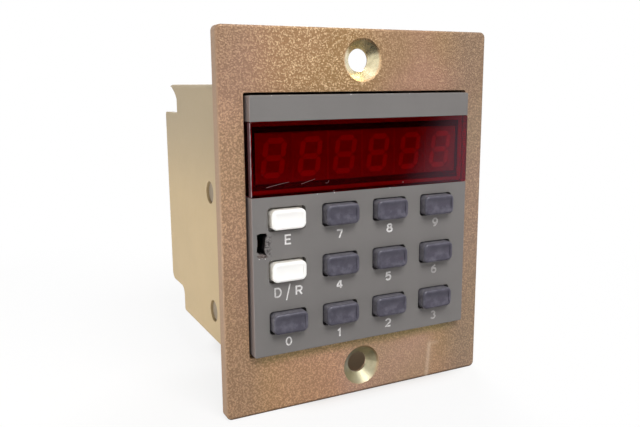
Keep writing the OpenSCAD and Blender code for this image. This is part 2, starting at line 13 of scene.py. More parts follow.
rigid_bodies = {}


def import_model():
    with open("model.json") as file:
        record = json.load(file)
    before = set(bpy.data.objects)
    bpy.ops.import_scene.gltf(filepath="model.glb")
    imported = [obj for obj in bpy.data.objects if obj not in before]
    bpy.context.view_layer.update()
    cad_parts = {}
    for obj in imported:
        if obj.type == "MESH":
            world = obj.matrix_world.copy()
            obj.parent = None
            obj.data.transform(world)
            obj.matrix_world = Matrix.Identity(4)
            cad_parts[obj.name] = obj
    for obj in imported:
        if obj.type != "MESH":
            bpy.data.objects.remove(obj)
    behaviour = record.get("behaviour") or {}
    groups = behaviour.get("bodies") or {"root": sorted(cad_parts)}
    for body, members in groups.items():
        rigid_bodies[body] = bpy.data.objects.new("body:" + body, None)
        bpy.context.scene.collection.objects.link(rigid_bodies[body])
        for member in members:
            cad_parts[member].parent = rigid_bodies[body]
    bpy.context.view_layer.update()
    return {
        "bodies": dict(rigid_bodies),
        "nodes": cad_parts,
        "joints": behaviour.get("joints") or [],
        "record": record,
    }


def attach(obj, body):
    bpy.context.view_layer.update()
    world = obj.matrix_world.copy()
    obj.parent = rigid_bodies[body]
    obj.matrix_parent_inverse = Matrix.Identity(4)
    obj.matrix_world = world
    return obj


LOG = logging.getLogger("panel_counter")
MM = 0.001
Point = tuple[float, float, float]
Colour = Point
Span = tuple[float, float]
Socket = bpy.types.NodeSocket
Faces = list[list[int]]
Surface = tuple[np.ndarray, Faces]
WHITE: Colour = (1.0, 1.0, 1.0)


class Body(str, Enum):
    """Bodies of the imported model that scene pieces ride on."""

    COUNTER = "counter"


class Rays(str, Enum):
    """Light path outputs that see the white background."""

    CAMERA = "Is Camera Ray"
    GLOSSY = "Is Glossy Ray"
    TRANSMISSION = "Is Transmission Ray"


class Wear(Enum):
    """How far a printed mark has worn away, as the share of white that is left."""

    FRESH = 0.98
    WORN = 0.74
    FAINT = 0.34


class Seed(IntEnum):
    """Numbers that fix the pieces' random outlines; a group of domes counts on from its own."""

    CRUMBS = 0
    TORN_EDGE = 7
    TORN_SKIN = 11
    WINDOW_SPECKS = 20
    WINDOW_DUST = 30
    EDGE_NICKS = 40
    PLATE_SPECK = 50


class Nodes:
    """A small builder for one node tree."""

    def __init__(self, tree: bpy.types.NodeTree) -> None:
        """Starts with the tree emptied."""
        self.tree = tree
        self.tree.nodes.clear()

    def node(self, kind: str, inputs: dict[str | int, object] | None = None,
             **settings: object) -> bpy.types.Node:
        """Adds a node.

        Args:
            kind: Blender's name of the node type.
            inputs: values or sockets for its inputs, by name or number.
            settings: attributes of the node.

        Returns:
            The new node.
        """
        made = self.tree.nodes.new(kind)
        for key, value in settings.items():
            setattr(made, key, value)
        for key, value in (inputs or {}).items():
            self.feed(made.inputs[key], value)
        return made

    def feed(self, socket: Socket, value: object) -> None:
        """Links a socket to another, or sets its value.

        Args:
            socket: input that is fed.
            value: output socket, number or colour.
        """
        if isinstance(value, bpy.types.NodeSocket):
            self.tree.links.new(value, socket)
        elif isinstance(value, tuple) and len(value) == 3 and socket.type == "RGBA":
            socket.default_value = (*value, 1.0)
        else:
            socket.default_value = value

    def math(self, operation: str, *values: object) -> Socket:
        """One arithmetic step on one or two values."""
        return self.node("ShaderNodeMath", dict(enumerate(values)), operation=operation).outputs[0]

    def plus(self, a: object, b: object) -> Socket:
        """Sum of two values."""
        return self.math("ADD", a, b)

    def minus(self, a: object, b: object) -> Socket:
        """Difference of two values."""
        return self.math("SUBTRACT", a, b)

    def times(self, value: object, *others: object) -> Socket:
        """Product of several values.

        Args:
            value: first value.
            others: values that it is multiplied by.

        Returns:
            The product.
        """
        for other in others:
            value = self.math("MULTIPLY", value, other)
        return value

    def most(self, value: object, *others: object) -> Socket:
        """Largest of several values.

        Args:
            value: first value.
            others: values that it is compared with.

        Returns:
            The largest.
        """
        for other in others:
            value = self.math("MAXIMUM", value, other)
        return value

    def fade(self, value: Socket, low: float, high: float, to_low: float = 0.0,
             to_high: float = 1.0) -> Socket:
        """Smooth step of a value.

        Args:
            value: value to map.
            low: value that gives to_low.
            high: value that gives to_high.
            to_low: result at and before low.
            to_high: result at and after high.

        Returns:
            The mapped value.
        """
        inputs = {"Value": value, "From Min": low, "From Max": high, "To Min": to_low, "To Max": to_high}
        return self.node("ShaderNodeMapRange", inputs, interpolation_type="SMOOTHSTEP").outputs[0]

    def fade_mm(self, value: Socket, low_mm: float, high_mm: float) -> Socket:
        """Smooth step of a length, 0 at the first and 1 at the second length in mm."""
        return self.fade(value, low_mm * MM, high_mm * MM)

    def band_mm(self, value: Socket, low_mm: float, high_mm: float, soft_mm: float) -> Socket:
        """1 between two lengths in mm, which fades to 0 over a soft stretch outside them."""
        return self.times(self.fade_mm(value, low_mm - soft_mm, low_mm),
                          self.fade_mm(value, high_mm + soft_mm, high_mm))

    def off_mm(self, value: Socket, middle_mm: float) -> Socket:
        """Distance of a length from a middle that is given in mm."""
        return self.math("ABSOLUTE", self.minus(value, middle_mm * MM))

    def repeat(self, value: Socket, start_mm: float, pitch_mm: float) -> Socket:
        """Place within a repeated pitch: -0.5 to 0.5, and 0 at the start and each pitch from it."""
        turns = self.math("DIVIDE", self.minus(value, start_mm * MM), pitch_mm * MM)
        return self.minus(self.math("FRACT", self.plus(turns, 10.5)), 0.5)

    def mix(self, share: object, a: object, b: object) -> Socket:
        """Colour between a, at share 0, and b, at share 1."""
        return self.node("ShaderNodeMix", {0: share, 6: a, 7: b}, data_type="RGBA").outputs[2]

    def tint(self, colour: object, paint: Colour, mask: Socket, share: float) -> Socket:
        """A colour that takes on a share of a paint where a mask is 1."""
        return self.mix(self.times(mask, share), colour, paint)


class Graph(Nodes):
    """Node tree of one material, with its patterns on Object coordinates."""

    def __init__(self, name: str) -> None:
        """Starts a material with a Principled shader.

        Args:
            name: name of the material.
        """
        self.material = bpy.data.materials.new(name)
        self.material.use_nodes = True
        super().__init__(self.material.node_tree)
        self.shader = self.node("ShaderNodeBsdfPrincipled")
        self.output = self.node("ShaderNodeOutputMaterial", {"Surface": self.shader.outputs["BSDF"]})
        self.place = self.node("ShaderNodeTexCoord").outputs["Object"]

    def set(self, **values: object) -> None:
        """Feeds inputs of the Principled shader; underscores stand for spaces."""
        for key, value in values.items():
            self.feed(self.shader.inputs[key.replace("_", " ")], value)

    def end(self, surface: Socket) -> None:
        """Makes another shader the material's surface."""
        self.feed(self.output.inputs["Surface"], surface)

    def axis(self, letter: str) -> Socket:
        """One Object coordinate, by its letter, in metres of the part's frame."""
        return self.node("ShaderNodeSeparateXYZ", {0: self.place}).outputs[letter]

    def noise(self, size_mm: float, detail: float = 2.0, rough: float = 0.5, distortion: float = 0.0,
              stretch: Point = (1.0, 1.0, 1.0)) -> Socket:
        """Smooth noise.

        Args:
            size_mm: size of its largest blotches.
            detail: number of finer octaves.
            rough: weight of the finer octaves.
            distortion: how far the pattern is bent by itself.
            stretch: factor on the coordinates, for streaks.

        Returns:
            Value from 0 to 1.
        """
        at = self.place
        if stretch != (1.0, 1.0, 1.0):
            at = self.node("ShaderNodeMapping", {"Vector": at, "Scale": stretch}).outputs[0]
        inputs = {"Vector": at, "Scale": 1.0 / (size_mm * MM), "Detail": detail, "Roughness": rough,
                  "Distortion": distortion}
        return self.node("ShaderNodeTexNoise", inputs).outputs[0]

    def cells(self, size_mm: float) -> Socket:
        """Distance to the nearest seed point of a random scatter, 0 at the seed."""
        inputs = {"Vector": self.place, "Scale": 1.0 / (size_mm * MM)}
        return self.node("ShaderNodeTexVoronoi", inputs).outputs["Distance"]

    def bump(self, height: Socket, depth_mm: float) -> Socket:
        """Shading normal of a relief, from its height, where 1 stands for a depth in mm."""
        inputs = {"Height": height, "Distance": depth_mm * MM, "Strength": 1.0}
        return self.node("ShaderNodeBump", inputs).outputs[0]


def scaled(colour: Colour, factor: float) -> Colour:
    """A colour times a factor, at most 1."""
    return tuple(min(1.0, part * factor) for part in colour)


class Finish:
    """A surface finish, which lays its own nodes into a material."""

    name: str

    def lay(self, g: Graph) -> None:
        """Lays the nodes; a bare finish has none."""

    def material(self) -> bpy.types.Material:
        """Builds the finish.

        Returns:
            The material.
        """
        g = Graph(self.name)
        self.lay(g)
        return g.material


@dataclass(frozen=True)
class Zone:
    """A soft stretch of the plate with a tint laid over it; the plate's zones hold painted shade and patches
    of tone.

    It fades in with the height, and across with the place itself or the distance from a middle line.
    """

    tint: Colour
    share: float
    up_mm: Span
    across_mm: Span | None = None
    middle_mm: float | None = None

    def mask(self, g: Graph, x: Socket, z: Socket) -> Socket:
        """How far a place lies in the zone.

        Args:
            g: material that is built.
            x: coordinate across.
            z: coordinate up.

        Returns:
            Share from 0 to 1.
        """
        up = g.fade_mm(z, *self.up_mm)
        if self.across_mm is None:
            return up
        place = x if self.middle_mm is None else g.off_mm(x, self.middle_mm)
        return g.times(up, g.fade_mm(place, *self.across_mm))


@dataclass(frozen=True)
class CastBronze(Finish):
    """Cast plate in worm-grained bronze with bare golden countersinks and a pale scuff.

    Grain: crests of the sine of a slow noise, broken by a finer noise, or pebbles round scattered seeds,
    whichever is higher. Countersinks: a ring by the distance from the screw axes. Scuff: a band by the
    distance from a slanted line.
    """

    name: str = "cast_bronze"
    ridge: Colour = (0.78, 0.430, 0.262)
    valley: Colour = (0.345, 0.188, 0.105)
    rose: Colour = (0.52, 0.282, 0.196)
    olive: Colour = (0.38, 0.243, 0.102)
    # painted shadow that the panel casts on the plate below its lower edge
    seam: Colour = (0.360, 0.330, 0.095)
    dull: Colour = (0.226, 0.184, 0.138)
    edge: Colour = (0.38, 0.245, 0.155)
    shade: Colour = (0.26, 0.150, 0.090)
    amber: Colour = (0.36, 0.205, 0.058)
    blush: Colour = (0.43, 0.290, 0.228)
    arris: Colour = (0.085, 0.045, 0.022)
    gold: Colour = (0.68, 0.595, 0.385)
    glint: Colour = (0.93, 0.82, 0.54)
    # colour of the gold flecks, also used for the painted highlight in the top middle
    fleck: Colour = (1.0, 0.74, 0.44)
    # painted reflection of warm light on the countersinks' rounded rim
    rim: Colour = (0.80, 0.47, 0.25)
    # greyer colour over the lower countersink, most on its lower left
    stain: Colour = (0.330, 0.310, 0.215)
    scuff: Colour = (0.72, 0.56, 0.42)
    grain_mm: float = 0.85
    grain_turns: float = 18.0
    grain_break_mm: float = 0.45
    worm_height: float = 0.72
    pebble_mm: float = 0.44
    pebble_height: float = 0.62
    fine_mm: float = 0.20
    relief_mm: float = 0.060
    fray_mm: float = 0.4
    edge_share: float = 0.85
    arris_share: float = 0.75
    scuff_share: float = 0.46
    bend_share: float = 0.45
    rim_share: float = 0.70
    screw_z_mm: float = 31.5
    countersink_r_mm: float = 4.2
    half_width_mm: float = 30.0
    half_height_mm: float = 37.5
    panel_half_mm: Span = (24.6, 25.0)
    scuff_x_mm: float = 17.32
    scuff_z_mm: float = -29.6
    scuff_lean: float = 0.0857
    scuff_bend_z_mm: float = -29.8
    # painted shade along the top and at the lower left; amber and blush tone patches along the bottom
    zones: tuple[Zone, ...] = (
        Zone(shade, 0.41, up_mm=(20.0, 27.0)),
        Zone(shade, 0.22, up_mm=(4.0, -10.0), across_mm=(-22.0, -26.0)),
        Zone(amber, 0.12, up_mm=(-25.0, -30.0), across_mm=(12.0, 3.0), middle_mm=-14.0),
        Zone(blush, 0.44, up_mm=(-25.0, -29.0), across_mm=(14.0, 8.0), middle_mm=7.0),
    )
    # the top middle: an amber tint, and where the flecks are raised as a painted highlight
    top_zone: Zone = Zone(amber, 0.50, up_mm=(16.0, 28.0), across_mm=(17.0, 6.0), middle_mm=-9.0)

    def grain(self, g: Graph) -> Socket:
        """Height of the short worms and pebbles.

        Args:
            g: material that is built.

        Returns:
            Height from 0 to 1.
        """
        swirl = g.noise(self.grain_mm, detail=0.0, distortion=0.3)
        worm = g.fade(g.math("SINE", g.times(swirl, self.grain_turns)), -0.2, 1.0)
        gaps = g.fade(g.noise(self.grain_break_mm, detail=0.0), 0.42, 0.56, 0.25, 1.0)
        pebble = g.fade(g.cells(self.pebble_mm), 0.72, 0.22)
        return g.most(g.times(worm, gaps, self.worm_height), g.times(pebble, self.pebble_height))

    def tone(self, g: Graph, x: Socket, z: Socket) -> Socket:
        """The slow colours: rose and olive in patches, a painted olive shadow below the panel, duller on the
        left and right.

        Args:
            g: material that is built.
            x: coordinate across.
            z: coordinate up.

        Returns:
            The colour.
        """
        half_w, half_h = self.panel_half_mm
        colour = g.mix(g.fade(g.noise(22.0, detail=1.0), 0.36, 0.64), self.olive, self.rose)
        low_left = g.times(g.fade_mm(z, -12.0, -34.0), g.fade_mm(x, 4.0, -26.0))
        # painted shadow: an olive band on the plate just below the panel's lower edge
        below = g.times(g.band_mm(z, -half_h - 1.0, -1.0, 2.0),
                        g.fade_mm(g.off_mm(x, 0.0), half_w + 1.0, half_w - 2.0))
        colour = g.tint(colour, self.olive, low_left, 0.75)
        colour = g.tint(colour, self.seam, below, 0.80)
        colour = g.tint(colour, self.dull, g.fade_mm(x, -19.0, -27.0), 0.45)
        return g.tint(colour, self.dull, g.fade_mm(x, half_w - 8.0, half_w + 2.0), 0.80)

    def scuffed(self, g: Graph, x: Socket, z: Socket, fine: Socket) -> Socket:
        """Share of the pale upright scuff at the lower right, with a short bend at its top.

        Args:
            g: material that is built.
            x: coordinate across.
            z: coordinate up.
            fine: fine noise that breaks it up.

        Returns:
            Share from 0 to 1.
        """
        along = g.minus(x, g.times(g.minus(z, self.scuff_z_mm * MM), self.scuff_lean))
        upright = g.times(g.fade_mm(g.off_mm(along, self.scuff_x_mm), 0.8, 0.1), g.fade_mm(z, -28.5, -30.0))
        bend = g.times(g.fade_mm(g.off_mm(z, self.scuff_bend_z_mm), 0.7, 0.1),
                       g.fade_mm(x, 17.0, 17.8), g.fade_mm(x, 20.4, 19.2))
        return g.times(g.most(upright, g.times(bend, self.bend_share)), g.fade(fine, 0.20, 0.50, 0.4, 1.0))

    def countersinks(self, g: Graph, x: Socket, z: Socket, fine: Socket) -> tuple[Socket, Socket, Socket]:
        """The bare rings round both screw holes, with a painted coppery reflection at the rim; the lower one
        is greyer, most on its lower left.

        Args:
            g: material that is built.
            x: coordinate across.
            z: coordinate up.
            fine: fine noise that frays their edge.

        Returns:
            Share that is bare, its colour, and share that lies in the lower ring.
        """
        off_z = g.minus(g.math("ABSOLUTE", z), self.screw_z_mm * MM)
        radius = g.math("SQRT", g.plus(g.times(x, x), g.times(off_z, off_z)))
        frayed = g.plus(radius, g.times(g.minus(fine, 0.5), self.fray_mm * MM))
        r = self.countersink_r_mm
        bare = g.times(g.fade_mm(frayed, r + 0.12, r - 0.10), g.fade_mm(g.axis("Y"), -0.1, -0.3))
        gold = g.mix(g.fade(g.noise(1.4, distortion=0.8), 0.3, 0.75), self.gold, self.glint)
        # painted reflection: a coppery band at the countersinks' rim
        gold = g.tint(gold, self.rim, g.fade_mm(frayed, r - 0.50, r - 0.15), self.rim_share)
        lower_ring = g.times(bare, g.fade_mm(z, 1.0, -1.0))
        # the lower ring turns greyer, most on its lower left
        lower_left = g.fade(g.minus(x, off_z), 0.004, -0.001, 0.25, 0.9)
        return bare, g.mix(g.times(lower_ring, lower_left), gold, self.stain), lower_ring

    def lay(self, g: Graph) -> None:
        """Lays grain, zones of painted shade and tone, flecks with a painted highlight, the left side face, a
        dark band along the bottom arris, scuff and countersinks over each other.

        Args:
            g: material that is built.
        """
        x, z = g.axis("X"), g.axis("Z")
        ridge, fine = self.grain(g), g.noise(self.fine_mm, detail=1.0)
        grain = g.mix(g.fade(ridge, 0.0, 0.95), self.valley, self.ridge)
        colour = g.mix(g.fade(x, 0.020, -0.008, 0.26, 0.50), self.tone(g, x, z), grain)
        for zone in (*self.zones, self.top_zone):
            colour = g.tint(colour, zone.tint, zone.mask(g, x, z), zone.share)
        # sparkle of the gold flecks, raised in the top middle as a painted highlight
        spark = g.times(g.fade(fine, 0.40, 0.58, 0.3, 1.0), g.fade(ridge, 0.30, 0.9),
                        g.plus(0.24, g.times(self.top_zone.mask(g, x, z), 0.76)))
        colour = g.mix(spark, colour, self.fleck)
        edge = g.fade_mm(x, 0.35 - self.half_width_mm, 0.05 - self.half_width_mm)
        # darker band along the plate's bottom arris
        low_arris_band = g.fade_mm(z, 0.70 - self.half_height_mm, 0.30 - self.half_height_mm)
        colour = g.tint(colour, self.edge, edge, self.edge_share)
        colour = g.tint(colour, self.arris, low_arris_band, self.arris_share)
        colour = g.tint(colour, self.scuff, self.scuffed(g, x, z, fine), self.scuff_share)
        bare, gold, lower_ring = self.countersinks(g, x, z, fine)
        dull = g.plus(g.plus(0.46, g.times(fine, 0.16)), g.times(lower_ring, 0.16))
        shine = g.plus(g.times(bare, 0.24), g.times(spark, 0.15))
        relief = g.times(g.plus(ridge, g.times(fine, 0.5)), g.minus(1.0, g.times(g.most(bare, edge), 0.90)))
        g.set(Base_Color=g.mix(bare, colour, gold), Metallic=g.plus(0.22, g.times(bare, 0.73)),
              Roughness=g.minus(dull, shine), Normal=g.bump(relief, self.relief_mm))


@dataclass(frozen=True)
class MouldedPlastic(Finish):
    """Moulded plastic: even colour with slow drift, smears of grime and a fine spark texture."""

    name: str
    colour: Colour
    roughness: float = 0.5
    drift: float = 0.06
    texture_mm: float = 0.16
    texture_depth_mm: float = 0.006
    grime: Colour = (0.10, 0.08, 0.06)
    grime_share: float = 0.10
    specular: float = 0.5

    def mark(self, g: Graph, colour: Socket) -> Socket:
        """Adds marks that belong to one moulding; a plain one has none."""
        return colour

    def lay(self, g: Graph) -> None:
        """Lays drift, smears, the moulding's own marks and the spark texture.

        Args:
            g: material that is built.
        """
        colour = g.mix(g.fade(g.noise(9.0, detail=3.0), 0.3, 0.7), scaled(self.colour, 1.0 - self.drift),
                       scaled(self.colour, 1.0 + self.drift))
        smear = g.fade(g.noise(4.5, detail=4.0, rough=0.62, stretch=(1.0, 0.6, 1.4)), 0.56, 0.80)
        colour = self.mark(g, g.tint(colour, self.grime, smear, self.grime_share))
        g.set(Base_Color=colour, Specular_IOR_Level=self.specular,
              Roughness=g.plus(self.roughness - 0.06, g.times(g.noise(1.1, detail=3.0), 0.12)),
              Normal=g.bump(g.noise(self.texture_mm), self.texture_depth_mm))


@dataclass(frozen=True)
class PanelPlastic(MouldedPlastic):
    """The front panel's grey: pinkish brown side walls with painted shading and reflection, pale pegs, a seat
    with painted light behind the window, painted shade inside the torn hole and bruised skin beside it.
    """

    # painted shading and warm reflection of the plate on the moulding's side walls
    side: Colour = (0.240, 0.205, 0.198)
    # painted shade inside the torn hole
    hollow: Colour = (0.012, 0.010, 0.011)
    # painted light on the seat behind the red window
    seat: Colour = (0.66, 0.46, 0.46)
    peg: Colour = (0.29, 0.23, 0.165)
    bruise_dark: Colour = (0.050, 0.042, 0.041)
    bruise_pale: Colour = (0.31, 0.275, 0.270)
    half_width_mm: float = 24.6
    face_y_mm: float = -4.25
    tear_left_mm: float = -24.2
    tear_right_mm: float = -21.75
    tear_z_mm: Span = (-4.9, -0.8)
    seat_z_mm: Span = (6.45, 20.1)

    def mark(self, g: Graph, colour: Socket) -> Socket:
        """Adds the side walls' painted shading and reflection, pegs, bruised skin, painted light on the seat
        behind the window and painted shade inside the hole.

        Args:
            g: material that is built.
            colour: colour so far.

        Returns:
            The colour with the marks.
        """
        x, z, wall = g.axis("X"), g.axis("Z"), self.half_width_mm
        out = g.off_mm(x, 0.0)
        side = g.fade_mm(out, wall - 0.22, wall - 0.04)
        # painted shading and reflection on the side walls
        colour = g.mix(side, colour, self.side)
        colour = g.mix(g.fade_mm(out, wall + 0.15, wall + 0.4), colour, self.peg)
        low, high = self.tear_z_mm
        beside = g.times(g.fade_mm(g.off_mm(x, self.tear_right_mm), 1.3, 0.4),
                         g.band_mm(z, low, high - 0.5, 0.5))
        lump = g.noise(0.42, detail=3.0, rough=0.7)
        colour = g.mix(g.times(beside, g.fade(lump, 0.53, 0.41)), colour, self.bruise_dark)
        colour = g.mix(g.times(beside, g.fade(lump, 0.56, 0.66)), colour, self.bruise_pale)
        deep = g.fade_mm(g.axis("Y"), self.face_y_mm + 0.02, self.face_y_mm + 0.15)
        under, over = self.seat_z_mm
        # painted light on the seat behind the window
        seat = g.times(g.band_mm(z, under + 0.1, over - 0.1, 0.1), deep, g.minus(1.0, side))
        # painted shade inside the torn hole
        hollow = g.times(deep, g.band_mm(x, self.tear_left_mm, self.tear_right_mm + 0.6, 0.1),
                         g.band_mm(z, low - 0.5, high + 0.5, 0.2))
        return g.mix(hollow, g.mix(seat, colour, self.seat), self.hollow)


@dataclass(frozen=True)
class HousingPlastic(MouldedPlastic):
    """The housing's beige, with painted shade that makes it greyer towards the top."""

    # painted shade: the top of the housing turned darker and greyer
    aged: Colour = (0.43, 0.345, 0.225)
    aged_z_mm: Span = (-2.0, 22.0)
    aged_share: float = 0.9

    def mark(self, g: Graph, colour: Socket) -> Socket:
        """Adds the painted shade towards the top."""
        return g.tint(colour, self.aged, g.fade_mm(g.axis("Z"), *self.aged_z_mm), self.aged_share)


@dataclass(frozen=True)
class KeyPlastic(Finish):
    """Satin key cap: worn paler on its hollow front, with painted light low on the front and a painted
    highlight on the upper arris, and dust on its sides, whose paler colour on the slate caps is painted
    light.
    """

    name: str
    colour: Colour
    # paler front colour for both wear and the painted light and highlight
    rubbed: Colour
    # side colour: dust, and on the slate caps also painted light
    dust: Colour
    roughness: float = 0.34
    front_y_mm: float = -5.95
    row_z_mm: float = 1.9
    row_pitch_mm: float = 10.16

    def lay(self, g: Graph) -> None:
        """Lays worn blotches and hairlines on the front, weighted to its lower half as painted light, a
        painted highlight on the upper arris, and dust on the sides, paler on slate caps as painted light.

        Args:
            g: material that is built.
        """
        front = g.fade_mm(g.axis("Y"), self.front_y_mm + 0.55, self.front_y_mm + 0.30)
        up = g.repeat(g.axis("Z"), self.row_z_mm, self.row_pitch_mm)
        blotch = g.fade(g.noise(1.5, detail=3.0, rough=0.6), 0.40, 0.70)
        hair = g.fade(g.noise(0.35, stretch=(0.35, 1.0, 1.6)), 0.60, 0.78)
        wear_and_highlight = g.most(g.times(blotch, 0.75), g.times(hair, 0.45))
        # more in the lower half: painted light on the dish's upturned lower half
        wear_and_highlight = g.times(wear_and_highlight, g.fade(up, 0.09, -0.06, 0.30, 1.0), front)
        # painted highlight along the upper arris
        arris = g.times(g.fade(up, 0.150, 0.176), g.fade(up, 0.205, 0.190), front)
        wear_and_highlight = g.most(wear_and_highlight, g.times(arris, g.fade(blotch, 0.0, 0.5, 0.1, 0.5)))
        # dust on the sides, which on the slate caps also paints light
        dust_and_side_light = g.times(g.minus(1.0, front), g.fade(g.noise(0.7, detail=3.0), 0.35, 0.65, 0.45, 1.0))
        g.set(Base_Color=g.mix(dust_and_side_light, g.mix(wear_and_highlight, self.colour, self.rubbed), self.dust),
              Roughness=g.plus(self.roughness, g.times(blotch, 0.12)),
              Normal=g.bump(g.noise(0.18), 0.005))


@dataclass(frozen=True)
class RedAcrylic(Finish):
    """Clear dark red acrylic, polished, with a faint haze of fine scratches."""

    name: str = "red_acrylic"
    tint: Colour = (0.50, 0.012, 0.022)
    ior: float = 1.49
    specular: float = 0.22

    def lay(self, g: Graph) -> None:
        """Lays the clear tint and its haze.

        Args:
            g: material that is built.
        """
        haze = g.fade(g.noise(2.4, detail=4.0, rough=0.65, stretch=(0.5, 1.0, 1.0)), 0.45, 0.8)
        g.set(Base_Color=self.tint, Transmission_Weight=1.0, IOR=self.ior, Specular_IOR_Level=self.specular,
              Roughness=g.plus(0.03, g.times(haze, 0.10)))


@dataclass(frozen=True)
class DigitPlastic(Finish):
    """Dull red digit body with paler segments in its shallow recesses and pale seams between the bodies."""

    name: str = "digit_plastic"
    body: Colour = (0.34, 0.034, 0.038)
    segment: Colour = (0.72, 0.13, 0.12)
    floor_y_mm: float = -0.90
    pitch_mm: float = 7.62

    def lay(self, g: Graph) -> None:
        """Lays the mottled body, and the segment colour on the recesses' floors and along the seams.

        Args:
            g: material that is built.
        """
        inside = g.band_mm(g.axis("Y"), self.floor_y_mm - 0.02, self.floor_y_mm + 0.02, 0.04)
        mottle = g.noise(0.9, detail=3.0)
        body = g.mix(g.fade(mottle, 0.3, 0.7), self.body, scaled(self.body, 1.25))
        seam = g.fade(g.math("ABSOLUTE", g.repeat(g.axis("X"), 0.0, self.pitch_mm)), 0.034, 0.014)
        g.set(Base_Color=g.mix(g.most(inside, g.times(seam, 0.5)), body, self.segment),
              Roughness=g.plus(0.40, g.times(mottle, 0.15)), Normal=g.bump(g.noise(0.2), 0.006))


@dataclass(frozen=True)
class PlainMetal(Finish):
    """Plated or plain turned metal with fine turning marks and dull spots."""

    name: str
    colour: Colour
    roughness: float = 0.32

    def lay(self, g: Graph) -> None:
        """Lays the dull spots and the turning marks.

        Args:
            g: material that is built.
        """
        spot = g.fade(g.noise(0.8, detail=3.0), 0.42, 0.75)
        g.set(Base_Color=g.tint(self.colour, scaled(self.colour, 0.62), spot, 0.6), Metallic=1.0,
              Roughness=g.plus(self.roughness, g.times(spot, 0.18)),
              Normal=g.bump(g.noise(0.10, detail=1.0, stretch=(1.0, 6.0, 1.0)), 0.004))


@dataclass(frozen=True)
class BoardLaminate(Finish):
    """Green circuit board: resist over glass weave, with paler runs where copper lies under it."""

    name: str = "board_laminate"
    resist: Colour = (0.022, 0.105, 0.045)
    copper: Colour = (0.050, 0.19, 0.075)

    def lay(self, g: Graph) -> None:
        """Lays the copper runs and the weave.

        Args:
            g: material that is built.
        """
        runs = g.fade(g.noise(1.8, detail=0.0, stretch=(0.25, 1.0, 2.0)), 0.50, 0.53)
        weave = g.noise(0.35, detail=1.0)
        g.set(Base_Color=g.tint(self.resist, self.copper, runs, 0.8), Coat_Weight=0.3,
              Roughness=g.plus(0.28, g.times(weave, 0.12)),
              Normal=g.bump(g.plus(g.times(runs, 0.6), g.times(weave, 0.3)), 0.02))


@dataclass(frozen=True)
class Print(Finish):
    """White screen print on the grey face, worn through in spots."""

    wear: Wear
    white: Colour = (0.80, 0.78, 0.77)
    face: Colour = (0.205, 0.192, 0.182)

    @property
    def name(self) -> str:
        """Name of the material, by its state of wear."""
        return f"print_{self.wear.name.lower()}"

    def lay(self, g: Graph) -> None:
        """Lays the white with its worn spots.

        Args:
            g: material that is built.
        """
        spots = g.fade(g.noise(0.55, detail=3.0, rough=0.6), 0.30, 0.62, 0.55, 1.0)
        g.set(Base_Color=g.tint(self.face, self.white, spots, self.wear.value), Roughness=0.6)


@dataclass(frozen=True)
class TornPlastic(Finish):
    """Broken edge of the grey moulding: rough, brownish grey with pale stress marks, with painted shade that
    makes it nearly black inside.
    """

    name: str = "torn_plastic"
    dark: Colour = (0.040, 0.030, 0.030)
    mid: Colour = (0.175, 0.142, 0.128)
    pale: Colour = (0.27, 0.235, 0.225)
    face_y_mm: float = -4.25

    def lay(self, g: Graph) -> None:
        """Lays the lumps and the painted shade behind the face.

        Args:
            g: material that is built.
        """
        lump = g.noise(0.45, detail=4.0, rough=0.7)
        base = g.mix(g.fade(lump, 0.35, 0.60), self.dark, self.mid)
        colour = g.mix(g.fade(lump, 0.60, 0.74), base, self.pale)
        # painted shade: nearly black deeper than the face
        deep = g.fade_mm(g.axis("Y"), self.face_y_mm + 0.03, self.face_y_mm + 0.20)
        g.set(Base_Color=g.mix(deep, colour, scaled(self.dark, 0.25)), Roughness=0.8,
              Normal=g.bump(lump, 0.10))


@dataclass(frozen=True)
class Fleck(Finish):
    """A plain small mark, such as a scratch's bruised bottom or a grain of dust, mottled."""

    name: str
    colour: Colour
    roughness: float = 0.7

    def lay(self, g: Graph) -> None:
        """Lays the mottled colour."""
        mottled = g.mix(g.noise(0.3, detail=3.0), scaled(self.colour, 0.65), self.colour)
        g.set(Base_Color=mottled, Roughness=self.roughness)


def add_object(name: str, data: bpy.types.ID) -> bpy.types.Object:
    """Puts a mesh, lamp or camera into the scene.

    Args:
        name: name of the object.
        data: what it shows.

    Returns:
        The new object, at the origin.
    """
    made = bpy.data.objects.new(name, data)
    bpy.context.scene.collection.objects.link(made)
    return made


def add_surface(name: str, surface: Surface, material: bpy.types.Material,
                smooth: bool = False) -> bpy.types.Object:
    """Puts a surface into the scene.

    Args:
        name: name of the object.
        surface: corners in mm, one row each, and the corner numbers of each face.
        material: finish.
        smooth: whether it is shaded smooth.

    Returns:
        The new object.
    """
    points, faces = surface
    mesh = bpy.data.meshes.new(name)
    mesh.from_pydata((points * MM).tolist(), [], faces)
    mesh.polygons.foreach_set("use_smooth", np.full(len(mesh.polygons), smooth))
    mesh.validate()
    mesh.update()
    mesh.materials.append(material)
    return add_object(name, mesh)


def make_piece(name: str, surface: Surface, finish: Finish, smooth: bool = False) -> None:
    """Puts a surface into the scene as a piece that rides on the counter.

    Args:
        name: name of the piece.
        surface: corners and faces.
        finish: finish.
        smooth: whether it is shaded smooth.
    """
    piece = add_surface(name, surface, finish.material(), smooth)
    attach(piece, Body.COUNTER.value)
    LOG.info("piece %s: %d faces", name, len(piece.data.polygons))


def arc(x: float, z: float, rx: float, rz: float, start: float, end: float, count: int = 28) -> np.ndarray:
    """Points on an ellipse: centre plus each radius times the cosine or sine of the angle.

    Args:
        x: centre across.
        z: centre up.
        rx: radius across.
        rz: radius up.
        start: first angle in degrees.
        end: last angle in degrees.
        count: number of points.

    Returns:
        Array of x and z.
    """
    angle = np.radians(np.linspace(start, end, count))
    return np.stack([x + rx * np.cos(angle), z + rz * np.sin(angle)], axis=1)


def line(*points: Span) -> np.ndarray:
    """Points of a broken line as an array."""
    return np.array(points, float)


def join(*parts: np.ndarray) -> np.ndarray:
    """Runs several strokes together into one."""
    return np.concatenate(parts)


